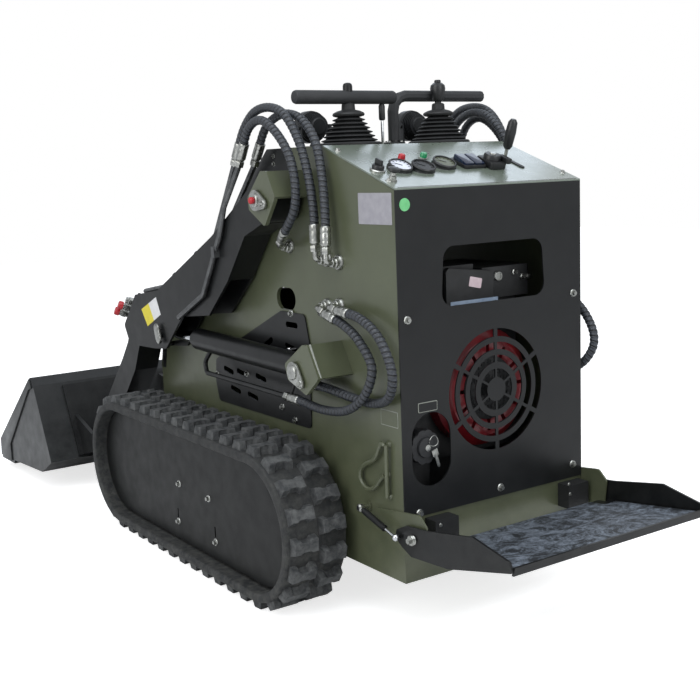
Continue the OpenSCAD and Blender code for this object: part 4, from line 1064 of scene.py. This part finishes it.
# blank plates and stickers: thin films with rounded corners
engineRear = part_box("engine")[1][1] * 1000 - shiftY
films = [
    ("specPlate", "chassis", "silverFilm", sideMatrix(295, -80, 1031.5), rounded(rectangle(132, 73), 2)),
    ("roundSticker", "chassis", "greenFilm", rearMatrix(269, 1040),
        [(15 * math.cos(k * math.pi / 12), 15 * math.sin(k * math.pi / 12)) for k in range(24)]),
    ("enginePlate", "chassis", "blueFilm", rearMatrix(16, 783, engineRear + 12),
        rounded(rectangle(154, 22), 2)),
    ("engineSticker", "chassis", "pinkFilm", rearMatrix(12, 836, engineRear + 12, -0.22),
        rounded(rectangle(40, 25), 3)),
    ("armLabelYellow", "lift_arm", "yellowFilm", sideMatrix(383, 0, 0),
        [(-1244, 709), (-1187, 732), (-1153, 681), (-1204, 658)]),
    ("armLabelWhite", "lift_arm", "whiteFilm", sideMatrix(383, 0, 0),
        [(-1187, 732), (-1130, 756), (-1102, 704), (-1153, 681)]),
    ("sideLabelRim", "chassis", "rimFilm", sideMatrix(295, -49, 537.5), rounded(rectangle(68, 39), 3)),
    ("sideLabelFace", "chassis", "oliveEnamel", sideMatrix(295.6, -49, 537.5), rounded(rectangle(64, 35), 2)),
    ("coverLabelRim", "chassis", "rimFilm", rearMatrix(218, 562), rounded(rectangle(58, 24), 3)),
    ("coverLabelFace", "chassis", "blackPowderCoat", rearMatrix(218, 562, 0.6),
        rounded(rectangle(54, 20), 2)),
]
for name, body, finish, matrix, outline in films:
    bm = bmesh.new()
    addSlab(bm, outline, matrix, 0.8, 0.2)
    slotName = {"oliveEnamel": "green_paint", "blackPowderCoat": "black_paint"}.get(finish, "zinc")
    build(bm, name, body, finish, smooth=False)

# fuel cap with a key ring
cap = {"x": 214, "z": 459, "y": -22, "radius": 43, "lobes": 10, "ring": (198, 474), "key": (196, 452)}


def makeFuelCap(setup):
    bm, metal = bmesh.new(), bmesh.new()
    outline = []
    for k in range(120):
        a = 2 * math.pi * k / 120
        r = setup["radius"] - 3.5 * (0.5 - 0.5 * math.cos(setup["lobes"] * a)) ** 2
        outline.append((r * math.cos(a), r * math.sin(a)))
    addSlab(bm, outline, rearMatrix(setup["x"], setup["z"], setup["y"] - 22), 26, 1.6)
    addLathe(bm, [(0, 0), (26, 0), (24, 7), (10, 9), (0, 9)], at(setup["x"], setup["y"] + 3.5, setup["z"]),
        rear, 40)
    build(bm, "fuelCap", "chassis", "gripRubber")
    centre = at(setup["ring"][0], setup["y"] + 16, setup["ring"][1])
    ring = [centre + Vector((0.013 * math.cos(t), 0.002 * math.sin(2 * t), 0.013 * math.sin(t)))
        for t in roundTurn(24) + [2 * math.pi]]
    addTube(metal, ring, 0.0011, 8)
    key = rounded([(-9, 0), (9, 0), (9, -16), (4, -20), (4, -44), (0, -48), (-4, -44), (-4, -20), (-9, -16)],
        1.5, 3)
    addSlab(metal, key, rearMatrix(*setup["key"], setup["y"] + 14, 0.3), 2.2, 0.5)
    addLathe(metal, [(0, 0), (8, 0), (8, 3), (0, 4)], at(setup["x"], setup["y"] + 12, setup["z"]), rear, 24)
    build(metal, "tankKey", "chassis", "brightZinc")


makeFuelCap(cap)
print("labels and fuel cap made")

# black side flange along the hood, and blank doubling strips on the bucket's end plates
flange = {"outline": [(-440, 1184), (-558, 1184), (-723, 1051), (-1285, 600), (-1300, 505), (-1279, 505),
    (-1258, 590), (-705, 1030), (-600, 1120), (-440, 1120)], "x": 295, "thick": 2.5}
strip = {"outline": [(-1973, 404), (-2385, 106), (-2388, 40), (-2262, 38), (-2262, 106), (-1990, 360),
    (-1955, 372)], "x": 525, "thick": 5}
sidePieces = (
    ("hoodFlange", "chassis", "blackPowderCoat", "black_paint", flange),
    ("bucketStrip", "bucket", "bucketEnamel", "bucket_paint", strip),
)
for title, body, finish, slotName, piece in sidePieces:
    for sign, sideName in ((1, "Left"), (-1, "Right")):
        bm = bmesh.new()
        addSlab(bm, piece["outline"], sideMatrix(piece["x"], 0, 0, sign), piece["thick"], 0.5)
        build(bm, title + sideName, body, finish)

# starter behind the round grille: a dark disc with three rings of rimmed holes
starter = {"z": 573, "radius": 80, "holes": ((20, 66), (14, 48), (9, 30)), "holeRadius": 5.0}


def makeStarter(setup):
    bm = bmesh.new()
    base = Vector((0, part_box("recoil_cover")[1][1] - 0.001, setup["z"] / 1000))
    addLathe(bm, [(0, 0), (setup["radius"], 0), (setup["radius"], 3), (setup["radius"] - 3, 5), (12, 5),
        (10, 9), (0, 9)], base, rear, 64)
    for count, distance in setup["holes"]:
        for k in range(count):
            t = 2 * math.pi * k / count
            place = base + Vector((distance / 1000 * math.cos(t), 0.0045, distance / 1000 * math.sin(t)))
            r = setup["holeRadius"]
            addLathe(bm, [(0, 0), (r + 1.5, 0), (r + 1.5, 2.4), (r, 2.4), (r - 0.6, 0.8), (0, 0.8)], place,
                rear, 16)
    build(bm, "starterDisc", "chassis", "castBlack")


makeStarter(starter)

# engine seen through the window: its shroud, a round cap and three bright fittings
engineBits = {"shroud": [(-105, 772), (48, 772), (52, 850), (36, 862), (-96, 878), (-105, 868)], "thick": 14,
    "cap": (-72, 844), "fittings": ((-126, 850), (-154, 837), (-174, 836))}


def makeEngineBits(setup):
    fins, metal = bmesh.new(), bmesh.new()
    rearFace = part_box("engine")[1][1]
    addSlab(fins, rounded(setup["shroud"], 5), rearMatrix(0, 0, engineRear - 2), setup["thick"], 3)
    addLathe(metal, [(0, 0), (13, 0), (13, 5), (11, 7), (9, 7), (9, 4), (0, 4)],
        Vector((setup["cap"][0] / 1000, rearFace - 0.001, setup["cap"][1] / 1000)), rear, 28)
    for x, z in setup["fittings"]:
        addLathe(metal, [(0, 0), (8, 0), (8, 6), (5, 7), (5, 14), (0, 14)],
            Vector((x / 1000, rearFace - 0.001, z / 1000)), rear, 6)
    build(fins, "engineShroud", "chassis", "castBlack")
    build(metal, "engineFittings", "chassis", "brightZinc")


makeEngineBits(engineBits)

# rubber mat on the step's tread
mat = {"outline": [(-255, 2), (255, 2), (255, 56), (297, 56), (297, 308), (-297, 308), (-297, 56),
    (-255, 56)], "thick": 1.6, "front": (0, 66, 243.6), "fall": 42, "run": 321}


def makeMat(setup):
    bm = bmesh.new()
    slope = Matrix.Rotation(math.atan2(setup["fall"], setup["run"]), 4, "X")
    matrix = Matrix.Translation(at(*setup["front"])) @ slope
    addSlab(bm, setup["outline"], matrix, setup["thick"], 0.4)
    build(bm, "stepMat", "step", "dustyMat")


makeMat(mat)

# ball ends of the gas struts, screws in the buffers, nuts on the step's hinge bolts
balls = bmesh.new()
ballProfile = [(0, 0), (5, 0), (5, 16), (8, 18), (10, 23), (10, 29), (7, 33), (0, 34)]
for sign in (1, -1):
    addLathe(balls, ballProfile, at(sign * 297, -145, 301), (sign, 0, 0), 24)
build(balls, "strutBalls", "chassis", "brightZinc")
bufferPlaces = ((216, 278), (213, 247), (-213, 295), (-217, 268))
screwField("bufferScrews", "chassis", [((x, 36, z), rear, 0.45) for x, z in bufferPlaces])
screwField("stepNuts", "step", [((s * 311, 48, 265), (s, 0, 0), 1.2) for s in (1, -1)])

# quick couplers on the arm's nose: a black bracket, silver sockets and red caps
couplers = {"places": ((-1385, 712), (-1420, 690), (-1452, 668)), "x": 334, "lean": (0.9, -0.25, 0.35)}


def makeCouplers(setup):
    bracket, metal, red = bmesh.new(), bmesh.new(), bmesh.new()
    addSlab(bracket, rounded([(-1470, 640), (-1440, 628), (-1330, 700), (-1330, 740), (-1372, 748)], 6),
        sideMatrix(330, 0, 0), 6, 1)
    for number, (y, z) in enumerate(setup["places"]):
        base, lean = at(setup["x"], y, z), setup["lean"]
        addLathe(metal, [(0, 0), (11, 0), (11, 14), (13, 15), (13, 30), (11, 32), (11, 40), (0, 40)], base,
            lean, 24)
        if number:
            addLathe(red, [(0, 38), (14, 38), (14, 50), (12, 53), (0, 54)], base, lean, 28)
    build(bracket, "couplerBracket", "lift_arm", "blackEnamel")
    build(metal, "quickCouplers", "lift_arm", "brightZinc")
    build(red, "couplerCaps", "lift_arm", "redPlastic")


makeCouplers(couplers)
print("small pieces made")

# studio: pale floor, white background for the camera, soft light


def makeStudio():
    scene = bpy.context.scene
    scene.view_settings.view_transform = "Standard"
    world = bpy.data.worlds.new("studio")
    scene.world = world
    world.use_nodes = True
    tree = world.node_tree
    tree.nodes.clear()
    paths = addNode(tree, "ShaderNodeLightPath")
    seen = addNode(tree, "ShaderNodeMath", {"operation": "MAXIMUM"},
        {0: paths.outputs["Is Camera Ray"], 1: paths.outputs["Is Transmission Ray"]})
    light = addNode(tree, "ShaderNodeBackground", {"Color": (0.93, 0.96, 1.0, 1), "Strength": 0.68})
    white = addNode(tree, "ShaderNodeBackground", {"Color": (1, 1, 1, 1), "Strength": 1.0})
    mix = addNode(tree, "ShaderNodeMixShader", links={0: seen.outputs[0], 1: light.outputs[0],
        2: white.outputs[0]})
    addNode(tree, "ShaderNodeOutputWorld", links={0: mix.outputs[0]})
    material, tree = newMaterial("paleFloor")
    paths = addNode(tree, "ShaderNodeLightPath")
    matte = addNode(tree, "ShaderNodeBsdfDiffuse", {"Color": (0.8, 0.8, 0.8, 1)})
    glow = addNode(tree, "ShaderNodeEmission", {"Color": (1, 1, 1, 1), "Strength": 0.72})
    both = addNode(tree, "ShaderNodeAddShader", links={0: matte.outputs[0], 1: glow.outputs[0]})
    mix = addNode(tree, "ShaderNodeMixShader", links={0: paths.outputs["Is Camera Ray"], 1: matte.outputs[0],
        2: both.outputs[0]})
    addNode(tree, "ShaderNodeOutputMaterial", links={0: mix.outputs[0]})
    mesh = bpy.data.meshes.new("floor")
    mesh.from_pydata([(-12, -12, -0.001), (12, -12, -0.001), (12, 12, -0.001), (-12, 12, -0.001)], [],
        [(0, 1, 2, 3)])
    mesh.materials.append(material)
    floor = bpy.data.objects.new("floor", mesh)
    scene.collection.objects.link(floor)
    for name, place, target, size, power, tint in (
            ("skyLight", (1.2, 1.6, 4.2), (0, 0.4, 0.6), 3.5, 95, (0.93, 0.97, 1.0)),
            ("leftLight", (4.0, 1.2, 2.2), (0, 0.2, 0.6), 2.4, 48, (1.0, 0.99, 0.97)),
            ("rearLight", (-0.5, 5.0, 2.4), (0, 0.6, 0.6), 2.4, 50, (1.0, 1.0, 1.0)),
            ("panelLight", (-2.06, -1.81, 3.19), (0.1, 0.856, 1.13), 2.2, 15, (0.72, 0.84, 1.0))):
        data = bpy.data.lights.new(name, "AREA")
        data.size = size
        data.energy = power
        data.color = tint
        obj = bpy.data.objects.new(name, data)
        scene.collection.objects.link(obj)
        obj.matrix_world = Matrix.Translation(Vector(place)) @ turnTo(Vector(place) - Vector(target))


makeStudio()
print("studio made")
